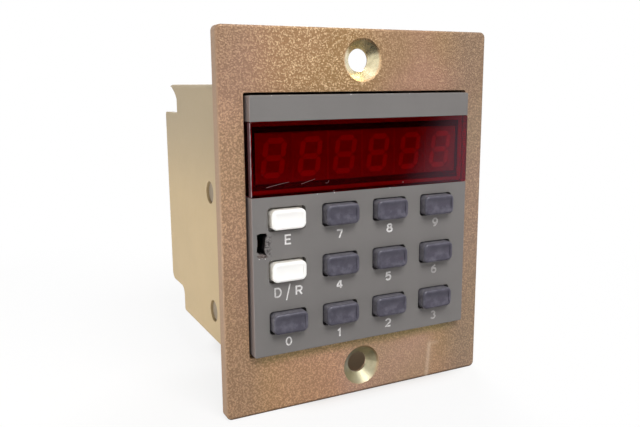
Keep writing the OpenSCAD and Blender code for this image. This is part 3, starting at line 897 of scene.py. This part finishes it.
# Centre lines of the characters, one unit high with the middle at the origin
GLYPHS: dict[str, list[np.ndarray]] = {
    "0": [arc(0, 0, 0.25, 0.42, 90, 449)],
    "1": [line((-0.17, 0.24), (0.04, 0.42), (0.04, -0.42))],
    "2": [join(arc(0, 0.17, 0.25, 0.25, 165, -38), line((-0.26, -0.42), (0.28, -0.42)))],
    "3": [arc(-0.01, 0.21, 0.22, 0.21, 150, -80), arc(-0.01, -0.19, 0.26, 0.23, 80, -150)],
    "4": [line((0.11, -0.42), (0.11, 0.45)), line((0.03, 0.40), (-0.25, -0.10)),
          line((-0.31, -0.16), (0.29, -0.16))],
    "5": [join(line((0.24, 0.42), (-0.17, 0.42), (-0.22, 0.04)), arc(-0.01, -0.15, 0.26, 0.27, 130, -150))],
    "6": [arc(0.0, -0.16, 0.25, 0.26, 90, 449), arc(0.20, -0.12, 0.45, 0.54, 92, 178)],
    "7": [line((0.24, 0.38), (-0.06, -0.44))],
    "7 bar": [line((-0.28, 0.42), (0.31, 0.42))],
    "8": [arc(0, 0.22, 0.21, 0.20, 90, 449), arc(0, -0.20, 0.26, 0.22, 90, 449)],
    "9": [arc(0.0, 0.16, 0.25, 0.26, 90, 449), arc(-0.20, 0.12, 0.45, 0.54, -88, -2)],
    "E": [line((0.26, 0.42), (-0.22, 0.42), (-0.22, -0.42), (0.27, -0.42)),
          line((-0.22, 0.01), (0.21, 0.01))],
    "D": [join(line((-0.23, -0.42), (-0.23, 0.42)), arc(0.0, 0, 0.28, 0.42, 90, -90),
               line((-0.2301, -0.42)))],
    "R": [join(line((-0.23, -0.42), (-0.23, 0.42)), arc(0.05, 0.20, 0.21, 0.22, 90, -90),
               line((-0.23, -0.02))),
          line((0.03, -0.02), (0.28, -0.42))],
    "/": [line((-0.17, -0.80), (0.17, 0.80))],
}


def grid_faces(rows: int, columns: int, closed: bool = False, turned: bool = False) -> Faces:
    """Four-cornered faces between the points of a grid that is numbered row by row.

    Args:
        rows: number of rows.
        columns: number of points in a row.
        closed: whether each row runs round to its first point.
        turned: whether the faces point the other way.

    Returns:
        Corner numbers of each face.
    """
    i, j = np.meshgrid(np.arange(rows - 1), np.arange(columns if closed else columns - 1), indexing="ij")
    here, beside = i * columns + j, i * columns + (j + 1) % columns
    corners = [here, beside, beside + columns, here + columns]
    if turned:
        corners = [here, here + columns, beside + columns, beside]
    return np.stack(corners, axis=-1).reshape(-1, 4).tolist()


def ribbon(path: np.ndarray, width: float, front: float, back: float) -> Surface:
    """Carries a flat box section along a path on the face.

    At each point the edge lies off the path by half the width along the sum of the two neighbouring side
    directions, divided by one plus their dot product, which keeps the width round a corner.

    Args:
        path: x and z of the centre line in mm.
        width: width of the ribbon in mm.
        front: depth of its front in mm.
        back: depth of its back in mm.

    Returns:
        Corners and faces.
    """
    step = np.diff(path, axis=0)
    step /= np.linalg.norm(step, axis=1, keepdims=True)
    side = np.stack([-step[:, 1], step[:, 0]], axis=1)
    before, after = np.vstack([side[:1], side]), np.vstack([side, side[-1:]])
    bend = np.clip(1 + np.sum(before * after, axis=1, keepdims=True), 0.45, 2)
    off = (before + after) / bend * width / 2
    left, right = path + off, path - off
    count = len(path)
    rows = [np.column_stack([edge[:, 0], np.full(count, depth), edge[:, 1]])
            for edge, depth in ((left, front), (right, front), (right, back), (left, back))]
    points = np.stack(rows, axis=1).reshape(-1, 3)
    i = 4 * np.arange(count - 1)[:, None]
    sides = [np.hstack([i + a, i + b, i + 4 + b, i + 4 + a]) for a, b in ((0, 1), (1, 2), (2, 3), (3, 0))]
    last = 4 * (count - 1)
    ends = [[3, 2, 1, 0], [last, last + 1, last + 2, last + 3]]
    return points, np.concatenate(sides).tolist() + ends


def dome(x: float, z: float, depth: float, radius: float, height: float, seed: int) -> Surface:
    """A small uneven dome on the face, on a grid of turns and rings.

    Its radius is the ring's share of the full radius, times one plus a few random waves; its height falls as
    one minus the square of the ring's share.

    Args:
        x: centre across in mm.
        z: centre up in mm.
        depth: depth of the surface that it sits on, in mm.
        radius: mean radius in mm.
        height: height in mm.
        seed: number that fixes its random outline.

    Returns:
        Corners and faces.
    """
    rng = np.random.default_rng(seed)
    turns, rings, sunk = 14, 4, 0.004
    angle = np.linspace(0, 2 * np.pi, turns, endpoint=False)
    share = np.linspace(1, 0.25, rings)[:, None]
    waves = 1 + sum(rng.uniform(-0.16, 0.16) * np.cos(k * angle + rng.uniform(0, 6)) for k in (2, 3, 4))
    r = share * radius * waves[None, :]
    y = depth + sunk - height * (1 - share**2) + np.zeros_like(r)
    points = np.stack([x + r * np.cos(angle), y, z + r * np.sin(angle)], axis=-1).reshape(-1, 3)
    top = ((rings - 1) * turns + np.arange(turns)).tolist()
    bottom = np.arange(turns)[::-1].tolist()
    return points, grid_faces(rings, turns, closed=True) + [top, bottom]


def gather(parts: list[Surface]) -> Surface:
    """Puts several surfaces into one list of corners and faces.

    Args:
        parts: corners and faces of each.

    Returns:
        Corners and faces of all.
    """
    starts = np.cumsum([0] + [len(points) for points, _ in parts[:-1]])
    faces = [(np.array(face) + start).tolist() for start, (_, own) in zip(starts, parts) for face in own]
    return np.concatenate([points for points, _ in parts]), faces


def domes(places: tuple[Point, ...], depth: float, height: float, seed: int) -> Surface:
    """A group of small domes on one face.

    Args:
        places: x, z and radius of each in mm.
        depth: depth of the face in mm.
        height: height of the domes in mm.
        seed: number that fixes the first one's outline; the others count on from it.

    Returns:
        Corners and faces.
    """
    return gather([dome(x, z, depth, r, height, seed + n) for n, (x, z, r) in enumerate(places)])


@dataclass
class SubAssembly:
    """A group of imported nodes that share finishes, with the scene's own pieces on it."""

    frame: dict

    def paint(self, finish: Finish, *nodes: str) -> None:
        """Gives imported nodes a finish.

        Args:
            finish: finish.
            nodes: names of the nodes.
        """
        material = finish.material()
        for name in nodes:
            mesh = self.frame["nodes"][name].data
            mesh.materials.clear()
            mesh.materials.append(material)
            LOG.info("node %s: %s", name, material.name)

    def build(self) -> None:
        """Makes the scene's own pieces; a group without any makes none."""

    def dress(self) -> None:
        """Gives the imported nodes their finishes."""


@dataclass
class MountingPlate(SubAssembly):
    """The cast metal plate round the front panel."""

    face_y: float = -2.5
    speck: Point = (-28.4, -2.61, 0.12)
    speck_height: float = 0.03
    finish: CastBronze = field(default_factory=CastBronze)

    def build(self) -> None:
        """Makes the dark speck on the left side of the plate."""
        brown = Fleck("speck_brown", (0.10, 0.055, 0.035))
        speck = domes((self.speck,), self.face_y, self.speck_height, Seed.PLATE_SPECK)
        make_piece("plate_speck", speck, brown, smooth=True)

    def dress(self) -> None:
        """Gives the plate its grained bronze."""
        self.paint(self.finish, "mounting_plate")


@dataclass
class FrontPanel(SubAssembly):
    """The grey moulding with its printed characters and the torn hole."""

    face_y: float = -4.25
    columns: tuple[float, ...] = (-17.495, -6.065, 5.365, 16.795)
    rows: tuple[float, ...] = (1.9, -8.26, -18.42)
    mark_drops: tuple[float, ...] = (4.1, 4.30, 4.30)
    mark_shift: float = 0.08
    letter_size: Span = (2.36, 2.0)
    digit_size: Span = (2.15, 1.84)
    stroke: float = 0.37
    thin_strokes: dict[str, float] = field(default_factory=lambda: {
        "E": 0.32, "/": 0.26, "0": 0.30, "D": 0.31, "R": 0.34, "7": 0.33})
    mark_shifts: dict[str, Span] = field(default_factory=lambda: {
        "E": (0.06, 0.03), "7": (-0.12, 0.0), "7 bar": (-0.20, 0.0), "8": (0.0, 0.08), "9": (-0.09, 0.20),
        "4": (-0.19, 0.0), "5": (-0.16, 0.22), "6": (-0.14, 0.34), "0": (-0.05, 0.16), "1": (-0.24, 0.0),
        "2": (-0.08, 0.26), "3": (-0.07, 0.17), "D": (0.0, 0.14), "R": (0.06, 0.03)})
    ink: float = 0.012
    tear_corner: Span = (-23.8, -0.5)
    tear_size: Span = (2.2, 4.7)
    crumb_places: tuple[Point, ...] = (
        (-23.3, -5.39, 0.11), (-22.08, -5.50, 0.10), (-20.81, -5.98, 0.09), (-22.7, -5.28, 0.06))
    crumb_height: float = 0.06
    nick_places: tuple[Point, ...] = (
        (-20.2, 24.90, 0.09), (-16.7, 24.92, 0.08), (-3.66, 24.90, 0.12), (9.8, 24.92, 0.07),
        (-11.04, 6.12, 0.09), (-7.27, 6.10, 0.11), (5.44, 6.12, 0.10))
    nick_height: float = 0.03
    plastic: PanelPlastic = field(default_factory=lambda: PanelPlastic(
        "panel_grey", (0.180, 0.170, 0.163), roughness=0.58, drift=0.03, grime_share=0.05))

    def marks(self) -> list[tuple[str, float, float, Wear]]:
        """The characters to print.

        Returns:
            Character, x and z of its middle in mm, and its wear.
        """
        keys = [["E", "7", "8", "9"], ["", "4", "5", "6"], ["0", "1", "2", "3"]]
        worn = {"9": Wear.FAINT, "6": Wear.FAINT, "3": Wear.FAINT, "5": Wear.WORN, "2": Wear.WORN}
        height = [row - drop for row, drop in zip(self.rows, self.mark_drops)]
        found = [(mark, self.columns[col], height[row], worn.get(mark, Wear.FRESH))
                 for row, names in enumerate(keys) for col, mark in enumerate(names) if mark]
        letters = (("D", -2.23, Wear.WORN), ("/", -0.03, Wear.FRESH), ("R", 2.17, Wear.FRESH))
        found += [(mark, self.columns[0] + off, height[1], wear) for mark, off, wear in letters]
        found += [("7 bar", self.columns[1], height[0], Wear.WORN)]
        off = {mark: self.mark_shifts.get(mark, (0.0, 0.0)) for mark, *_ in found}
        return [(mark, x + self.mark_shift + off[mark][0], z + off[mark][1], wear)
                for mark, x, z, wear in found]

    def strokes(self, mark: str, x: float, z: float) -> list[Surface]:
        """The strokes of one character, each a little prouder than the one before it.

        Args:
            mark: character.
            x: its middle across in mm.
            z: its middle up in mm.

        Returns:
            Corners and faces of each stroke.
        """
        size = np.array(self.digit_size if mark[0].isdigit() else self.letter_size)
        width = self.thin_strokes.get(mark, self.stroke)
        return [ribbon(np.array([x, z]) + path * size, width, self.face_y - self.ink * (1 + 0.2 * n),
                       self.face_y + self.ink) for n, path in enumerate(GLYPHS[mark])]

    def print_marks(self) -> None:
        """Prints the characters, one piece for each state of wear."""
        for wear in Wear:
            parts = [stroke for mark, x, z, state in self.marks() if state is wear
                     for stroke in self.strokes(mark, x, z)]
            make_piece(f"printed_marks_{wear.name.lower()}", gather(parts), Print(wear))

    def tear_outline(self, count: int) -> np.ndarray:
        """The ragged hole's outline: its corners joined by straight lines and sampled evenly.

        Args:
            count: number of points.

        Returns:
            Array of x and z in mm.
        """
        share = line((0.05, -0.05), (0.35, 0), (0.93, -0.02), (1, -0.13), (0.82, -0.21), (0.8, -0.49),
                     (0.71, -0.66), (0.78, -0.81), (0.96, -1), (0.6, -0.87), (0.27, -0.85), (0, -0.74),
                     (0.09, -0.4), (0.05, -0.05))
        corners = np.array(self.tear_corner) + share * np.array(self.tear_size)
        length = np.concatenate([[0], np.cumsum(np.linalg.norm(np.diff(corners, axis=0), axis=1))])
        at = np.linspace(0, length[-1], count, endpoint=False)
        return np.stack([np.interp(at, length, corners[:, 0]), np.interp(at, length, corners[:, 1])], axis=1)

    def tear_fringe(self) -> None:
        """Torn shreds round the hole, wide at its right and lower side.

        A band runs round the outline in nine rows: each row lies further towards the hole's middle, by a
        share of a reach that grows to the right and the bottom, and deeper by the same share, both roughened
        at random.
        """
        rng = np.random.default_rng(Seed.TORN_EDGE)
        count, rows = 220, 9
        rim = self.tear_outline(count)
        x0, z0 = self.tear_corner
        right = np.clip((rim[:, 0] - x0) / self.tear_size[0], 0, 1)
        low = np.clip((z0 - rim[:, 1]) / self.tear_size[1], 0, 1)
        reach = 0.05 + 0.12 * right**2 + 0.20 * np.clip(low - 0.72, 0, 1) / 0.28
        turn = np.linspace(0, 2 * np.pi, count, endpoint=False)
        waves = sum(rng.uniform(0.25, 1.0) * np.sin(k * turn + rng.uniform(0, 6)) / k**0.5
                    for k in (7, 13, 19, 29, 43, 61))
        reach = reach * (1 + 0.28 * waves)
        middle = np.array([x0 + 0.42 * self.tear_size[0], z0 - 0.42 * self.tear_size[1]])
        inward = middle - rim
        inward /= np.linalg.norm(inward, axis=1, keepdims=True)
        share = np.linspace(-0.35, 1, rows)[:, None]
        jitter = rng.uniform(-0.5, 0.5, (rows, count))
        flat = rim[None] + (share * reach)[..., None] * inward[None] + 0.05 * jitter[..., None]
        depth = self.face_y - 0.03 * (1 - np.abs(share) * 2).clip(0, 1) + 0.75 * share.clip(0, 1)
        depth = depth + 0.10 * jitter * (share > 0) + 0.03 * (share < -0.2)
        points = np.stack([flat[..., 0], depth, flat[..., 1]], axis=-1).reshape(-1, 3)
        surface = points, grid_faces(rows, count, closed=True, turned=True)
        make_piece("torn_edge", surface, TornPlastic(), smooth=True)

    def torn_skin(self) -> None:
        """Lumpy torn skin below the hole: a grid over a ragged patch that lies on the face.

        Its half height falls towards both ends as the square root of one minus nearly the square of the place
        along it, roughened by random waves, and its rows rise off the face in the middle.
        """
        rng = np.random.default_rng(Seed.TORN_SKIN)
        across, rows, sunk = 40, 9, 0.004
        place = np.linspace(-1, 1, across)
        waves = sum(rng.uniform(0.4, 1.0) * np.sin(k * place + rng.uniform(0, 6)) for k in (5, 9, 17, 23))
        x0, z0 = self.tear_corner
        middle = np.array([x0 + 0.50 * self.tear_size[0], z0 - 0.945 * self.tear_size[1]])
        half_h = 0.40 * np.sqrt(1 - 0.96 * place**2) * (1 + 0.14 * waves)
        share = np.linspace(-1, 1, rows)[:, None]
        rise = 0.07 * (1 - share**2) * (1 + 0.8 * rng.uniform(-1, 1, (rows, across)))
        x = middle[0] + 1.06 * place[None, :] + 0.05 * rng.uniform(-1, 1, (rows, across))
        z = middle[1] + share * half_h[None, :] - 0.10 * place[None, :]
        points = np.stack([x, self.face_y + sunk - rise, z], axis=-1).reshape(-1, 3)
        surface = points, grid_faces(rows, across)
        make_piece("torn_skin", surface, TornPlastic(), smooth=True)

    def crumbs(self) -> None:
        """White crumbs of broken plastic below the hole and pale nicks along the moulding's edges."""
        white = Fleck("crumb_white", (0.82, 0.78, 0.75))
        crumbs = domes(self.crumb_places, self.face_y, self.crumb_height, Seed.CRUMBS)
        nicks = domes(self.nick_places, self.face_y, self.nick_height, Seed.EDGE_NICKS)
        make_piece("crumbs", crumbs, white, smooth=True)
        make_piece("edge_nicks", nicks, white, smooth=True)

    def build(self) -> None:
        """Makes the printed characters and the torn hole's shreds and crumbs."""
        self.print_marks()
        self.tear_fringe()
        self.torn_skin()
        self.crumbs()

    def dress(self) -> None:
        """Gives the moulding its grey."""
        self.paint(self.plastic, "front_panel")


@dataclass
class Display(SubAssembly):
    """The red window with its wear, and the digits behind it."""

    digits: int = 6
    face_y: float = -4.25
    half_width: float = 24.6
    edge_z: Span = (6.45, 20.1)
    side_depth: float = 1.2
    scratch_width: float = 0.042
    proud: float = 0.004
    dark_specks: tuple[Point, ...] = (
        (-10.4, 15.51, 0.10), (-13.38, 13.18, 0.08), (-12.33, 13.13, 0.08), (-22.37, 11.25, 0.10),
        (-22.39, 10.51, 0.09))
    speck_height: float = 0.02
    dust_grains: tuple[Point, ...] = ((8.55, 7.11, 0.10), (-7.41, 6.45, 0.09))
    dust_height: float = 0.03
    acrylic: RedAcrylic = field(default_factory=RedAcrylic)
    digit: DigitPlastic = field(default_factory=DigitPlastic)
    mask: MouldedPlastic = field(default_factory=lambda: MouldedPlastic(
        "mask_black", (0.022, 0.016, 0.018), grime_share=0.0))

    def sawn_edge(self) -> None:
        """Sawn left side of the window: a dull strip on the side and a pale one bent round its arris, which
        is a painted highlight on the frosted edge.

        The widths of the pale strip follow the product of two sine waves along the height.
        """
        up = np.linspace(self.edge_z[0], self.edge_z[1], 90)
        wave = 0.5 + 0.5 * np.sin(2.1 * up) * np.sin(0.9 * up + 1.0)
        side = -self.half_width - self.proud
        rough = self.face_y + 0.04 + 0.10 * wave
        flat, front = np.full_like(up, side), np.full_like(up, self.face_y - self.proud)
        back = np.full_like(up, self.face_y + self.side_depth)
        # pale strip round the arris: a painted highlight on the frosted sawn edge
        highlight_strip = [(flat, rough), (flat, front), (side + 0.06 + 0.08 * wave, front)]
        for name, colour, columns in (("sawn_edge", (0.46, 0.33, 0.35), highlight_strip),
                                      ("sawn_side", (0.115, 0.040, 0.052), [(flat, back), (flat, rough)])):
            points = np.concatenate([np.column_stack([x, y, up]) for x, y in columns])
            surface = points, grid_faces(len(columns), len(up), turned=True)
            make_piece(f"window_{name}", surface, Fleck(name, colour))

    def scratches(self) -> None:
        """Three fine scratches on the window."""
        paths = [line((-21.65, 8.04), (-20.4, 8.30), (-19.43, 8.45), (-18.1, 8.68), (-16.97, 8.84)),
                 line((-14.48, 8.29), (-13.7, 8.46), (-13.0, 8.67), (-11.51, 9.05)),
                 line((-8.50, 8.66), (-8.56, 8.38), (-8.72, 8.16), (-8.98, 8.08), (-9.20, 8.17))]
        front, back = self.face_y - self.proud, self.face_y + self.proud
        strokes = gather([ribbon(path, self.scratch_width, front, back) for path in paths])
        make_piece("window_scratches", strokes, Fleck("scratch_bruise", (0.42, 0.27, 0.28)))

    def build(self) -> None:
        """Makes the window's sawn side with its painted highlight, its scratches and the specks and dust on
        it.
        """
        self.sawn_edge()
        self.scratches()
        dark, pale = Fleck("speck_dark", (0.03, 0.012, 0.012)), Fleck("dust_pale", (0.62, 0.50, 0.50))
        specks = domes(self.dark_specks, self.face_y, self.speck_height, Seed.WINDOW_SPECKS)
        dust = domes(self.dust_grains, self.face_y, self.dust_height, Seed.WINDOW_DUST)
        make_piece("window_specks", specks, dark, smooth=True)
        make_piece("window_dust", dust, pale, smooth=True)

    def dress(self) -> None:
        """Gives the window, mask and digits their finishes."""
        self.paint(self.acrylic, "display_window")
        self.paint(self.mask, "display_mask")
        self.paint(self.digit, *(f"led_digit_{n}" for n in range(1, self.digits + 1)))


@dataclass
class Keypad(SubAssembly):
    """Ten dark and two white keys."""

    dark_keys: tuple[str, ...] = tuple(f"key_{n}" for n in range(10))
    white_keys: tuple[str, ...] = ("key_enter", "key_display_reset")
    slate: KeyPlastic = field(default_factory=lambda: KeyPlastic(
        "key_slate", (0.071, 0.067, 0.089), (0.136, 0.130, 0.163), (0.172, 0.164, 0.182)))
    white: KeyPlastic = field(default_factory=lambda: KeyPlastic(
        "key_white", (0.97, 0.96, 0.93), (1.0, 1.0, 0.98), (0.80, 0.74, 0.64), roughness=0.40,
        front_y_mm=-5.6))

    def dress(self) -> None:
        """Gives the caps their satin plastics."""
        self.paint(self.slate, *self.dark_keys)
        self.paint(self.white, *self.white_keys)


@dataclass
class Housing(SubAssembly):
    """The beige box with its rear cover."""

    plastic: HousingPlastic = field(default_factory=lambda: HousingPlastic(
        "housing_beige", (0.57, 0.435, 0.250), drift=0.02, texture_mm=0.30, texture_depth_mm=0.003,
        grime=(0.30, 0.22, 0.13), grime_share=0.06, specular=0.18))

    def dress(self) -> None:
        """Gives the housing and cover their beige."""
        self.paint(self.plastic, "housing", "rear_cover")


@dataclass
class Wiring(SubAssembly):
    """Terminal blocks, all screws and the crystal's steel can."""

    blocks: MouldedPlastic = field(default_factory=lambda: MouldedPlastic(
        "terminal_black", (0.030, 0.030, 0.032), roughness=0.42, drift=0.12, grime=(0.16, 0.14, 0.12),
        grime_share=0.18))
    steel: PlainMetal = field(default_factory=lambda: PlainMetal("zinc_plate", (0.62, 0.61, 0.58)))

    def dress(self) -> None:
        """Gives the blocks, the screws and the can their finishes."""
        self.paint(self.blocks, "terminal_block_upper", "terminal_block_lower")
        self.paint(self.steel, "terminal_screws", "rear_cover_screws", "board_screws", "spacer_screws",
                   "crystal")


@dataclass
class Inside(SubAssembly):
    """Boards, switches and parts behind the panel."""

    keys: tuple[str, ...] = (*(str(n) for n in range(10)), "enter", "display_reset")
    laminate: BoardLaminate = field(default_factory=BoardLaminate)
    brass: PlainMetal = field(default_factory=lambda: PlainMetal("plain_brass", (0.70, 0.50, 0.22)))
    black: MouldedPlastic = field(default_factory=lambda: MouldedPlastic(
        "part_black", (0.018, 0.018, 0.019), roughness=0.45, drift=0.15))

    def dress(self) -> None:
        """Gives the inner pieces their finishes."""
        self.paint(self.laminate, "front_board", "logic_board")
        self.paint(self.brass, "snap_domes", "board_spacers")
        self.paint(self.black, "microcontroller", "output_relay", "smoothing_capacitor", "board_link",
                   *(f"key_switch_{key}" for key in self.keys))


@dataclass(frozen=True)
class Lamp:
    """One soft rectangular lamp, aimed at a point."""

    name: str
    place_mm: Point
    aim_mm: Point
    size_mm: Span
    watts: float
    colour: Colour = WHITE

    def build(self) -> None:
        """Hangs the lamp: its back axis points from the aim to its place."""
        data = bpy.data.lights.new(self.name, "AREA")
        data.shape = "RECTANGLE"
        data.size, data.size_y = (n * MM for n in self.size_mm)
        data.energy, data.color = self.watts, self.colour
        place = Vector(self.place_mm) * MM
        turn = (place - Vector(self.aim_mm) * MM).to_track_quat("Z", "Y")
        add_object(self.name, data).matrix_world = Matrix.Translation(place) @ turn.to_matrix().to_4x4()
        LOG.info("lamp %s: %.2f W", self.name, self.watts)


@dataclass(frozen=True)
class Card:
    """A dark card in front with a softly graded bright end, which the window mirrors.

    It glows by how far a point lies to the right of a slanted line.
    """

    left_mm: float = 40.0
    right_mm: float = 430.0
    low_mm: float = -190.0
    high_mm: float = 110.0
    depth_mm: float = -364.0
    start_mm: float = 266.0
    slope: float = 0.51
    soft_mm: float = 52.0
    glow: Colour = (1.0, 0.72, 0.92)
    strength: float = 0.9

    def build(self) -> None:
        """Hangs the card where neither the camera nor the export sees it."""
        g = Graph("card_glow")
        past = g.minus(g.axis("X"), g.times(g.axis("Z"), self.slope))
        share = g.fade(past, self.start_mm * MM, (self.start_mm + self.soft_mm) * MM, 0.0, self.strength)
        g.end(g.node("ShaderNodeEmission", {"Color": self.glow, "Strength": share}).outputs[0])
        across = np.array([self.left_mm, self.left_mm, self.right_mm, self.right_mm])
        up = np.array([self.low_mm, self.high_mm, self.high_mm, self.low_mm])
        corners = np.column_stack([across, np.full(4, self.depth_mm), up])
        card = add_surface("card", (corners, [[0, 1, 2, 3]]), g.material)
        card.visible_camera = False


@dataclass
class Studio:
    """White surround, pale floor, lamps and the camera."""

    floor_z: float = -37.5
    floor_half: float = 6000.0
    floor_pale: Colour = (0.86, 0.86, 0.86)
    floor_shade: Colour = (0.46, 0.41, 0.35)
    shade_at: Span = (5.0, 20.0)
    shade_half: float = 14.0
    shade_soft: float = 14.0
    near_white: float = 0.84
    far_softs: float = 11.0
    ambient: float = 0.38
    room_glow: float = 0.5
    dim_glow: float = 0.07
    white_sides: tuple[tuple[str, float, float], ...] = (
        ("Y", -0.15, 0.35), ("Z", 0.20, 0.65), ("X", -0.35, -0.80))
    ground_span: Span = (-0.60, -0.25)
    sensor: float = 36.0
    lens: float = 39.41
    clip: Span = (0.005, 50.0)
    eye: Point = (-70.3, -123.7, 27.0)
    right: Point = (0.89365, -0.44873, -0.00594)
    up: Point = (0.08699, 0.16023, 0.98324)
    forward: Point = (0.44026, 0.87919, -0.18222)
    lamps: tuple[Lamp, ...] = (
        Lamp("key_lamp", (0.0, -320.0, 370.0), (0.0, 0.0, 0.0), (260.0, 220.0), 1.88),
        Lamp("side_lamp", (-140.0, 18.0, -26.0), (-27.0, 14.0, -22.0), (46.0, 16.0), 0.045,
             (1.0, 0.97, 0.92)),
        Lamp("rear_lamp", (150.0, 330.0, 220.0), (0.0, 40.0, 0.0), (200.0, 160.0), 0.9),
    )
    card: Card = field(default_factory=Card)

    def build_world(self) -> None:
        """White surround for camera and see-through rays, and a plain ambient level for the rest.

        Mirror rays see white behind, above and to the left of the object, a half-lit room elsewhere and dim
        ground below, by the ray's way.
        """
        world = bpy.data.worlds.new("surround")
        bpy.context.scene.world = world
        world.use_nodes = True
        g = Nodes(world.node_tree)
        way = g.node("ShaderNodeSeparateXYZ", {0: g.node("ShaderNodeTexCoord").outputs["Generated"]}).outputs
        sides = [g.fade(way[letter], low, high, self.dim_glow) for letter, low, high in self.white_sides]
        low, high = self.ground_span
        ground = g.node("ShaderNodeMapRange", {"Value": way["Z"], "From Min": low, "From Max": high,
                                               "To Min": self.dim_glow})
        room = g.times(g.most(self.room_glow, *sides), ground.outputs[0])
        path = g.node("ShaderNodeLightPath").outputs
        level = self.ambient
        for ray, seen in ((Rays.GLOSSY, room), (Rays.TRANSMISSION, 1.0), (Rays.CAMERA, 1.0)):
            level = g.node("ShaderNodeMix", {0: path[ray.value], 2: level, 3: seen}).outputs[0]
        sky = g.node("ShaderNodeBackground", {"Color": WHITE, "Strength": level})
        g.node("ShaderNodeOutputWorld", {"Surface": sky.outputs[0]})

    def build_floor(self) -> None:
        """Pale floor that keeps a soft shadow, deepest under the housing, and runs out into white.

        The shade follows the distance from a square under the housing.
        """
        g = Graph("pale_floor")
        outside = [g.most(g.minus(g.off_mm(g.axis(letter), n), self.shade_half * MM), 0.0)
                   for letter, n in zip("XY", self.shade_at)]
        off = g.math("SQRT", g.plus(*(g.times(n, n) for n in outside)))
        soft = self.shade_soft * MM
        g.set(Base_Color=g.mix(g.fade(off, 0.0, soft), self.floor_shade, self.floor_pale), Roughness=0.9,
              Specular_IOR_Level=0.0)
        far = g.most(g.fade(off, 0.0, soft, 0.0, self.near_white), g.fade(off, soft, self.far_softs * soft))
        share = g.times(g.node("ShaderNodeLightPath").outputs[Rays.CAMERA.value], far)
        glow = g.node("ShaderNodeEmission", {"Color": WHITE, "Strength": 1.0})
        blend = g.node("ShaderNodeMixShader", {0: share, 1: g.shader.outputs[0], 2: glow.outputs[0]})
        g.end(blend.outputs[0])
        flat = np.array([[-1, -1], [1, -1], [1, 1], [-1, 1]]) * self.floor_half
        corners = np.column_stack([flat, np.full(4, self.floor_z)])
        floor = add_surface("floor", (corners, [[0, 1, 2, 3]]), g.material)
        floor.visible_glossy = False

    def build_camera(self) -> None:
        """Sets the camera to the photograph's view."""
        data = bpy.data.cameras.new("camera")
        data.sensor_width, data.lens = self.sensor, self.lens
        data.clip_start, data.clip_end = self.clip
        axes = Matrix((self.right, self.up, tuple(-c for c in self.forward))).transposed().to_4x4()
        camera = add_object("camera", data)
        camera.matrix_world = Matrix.Translation(Vector(self.eye) * MM) @ axes
        bpy.context.scene.camera = camera

    def build(self) -> None:
        """Sets up surround, floor, lamps, card and camera."""
        bpy.context.scene.view_settings.view_transform = "Standard"
        self.build_world()
        self.build_floor()
        for lamp in self.lamps:
            lamp.build()
        self.card.build()
        self.build_camera()


def main() -> None:
    """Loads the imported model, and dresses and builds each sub-assembly."""
    logging.basicConfig(level=logging.INFO, format="%(name)s: %(message)s")
    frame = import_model()
    for group in (MountingPlate, FrontPanel, Display, Keypad, Housing, Wiring, Inside):
        assembly = group(frame)
        assembly.dress()
        assembly.build()
    Studio().build()


if __name__ == "__main__":
    main()
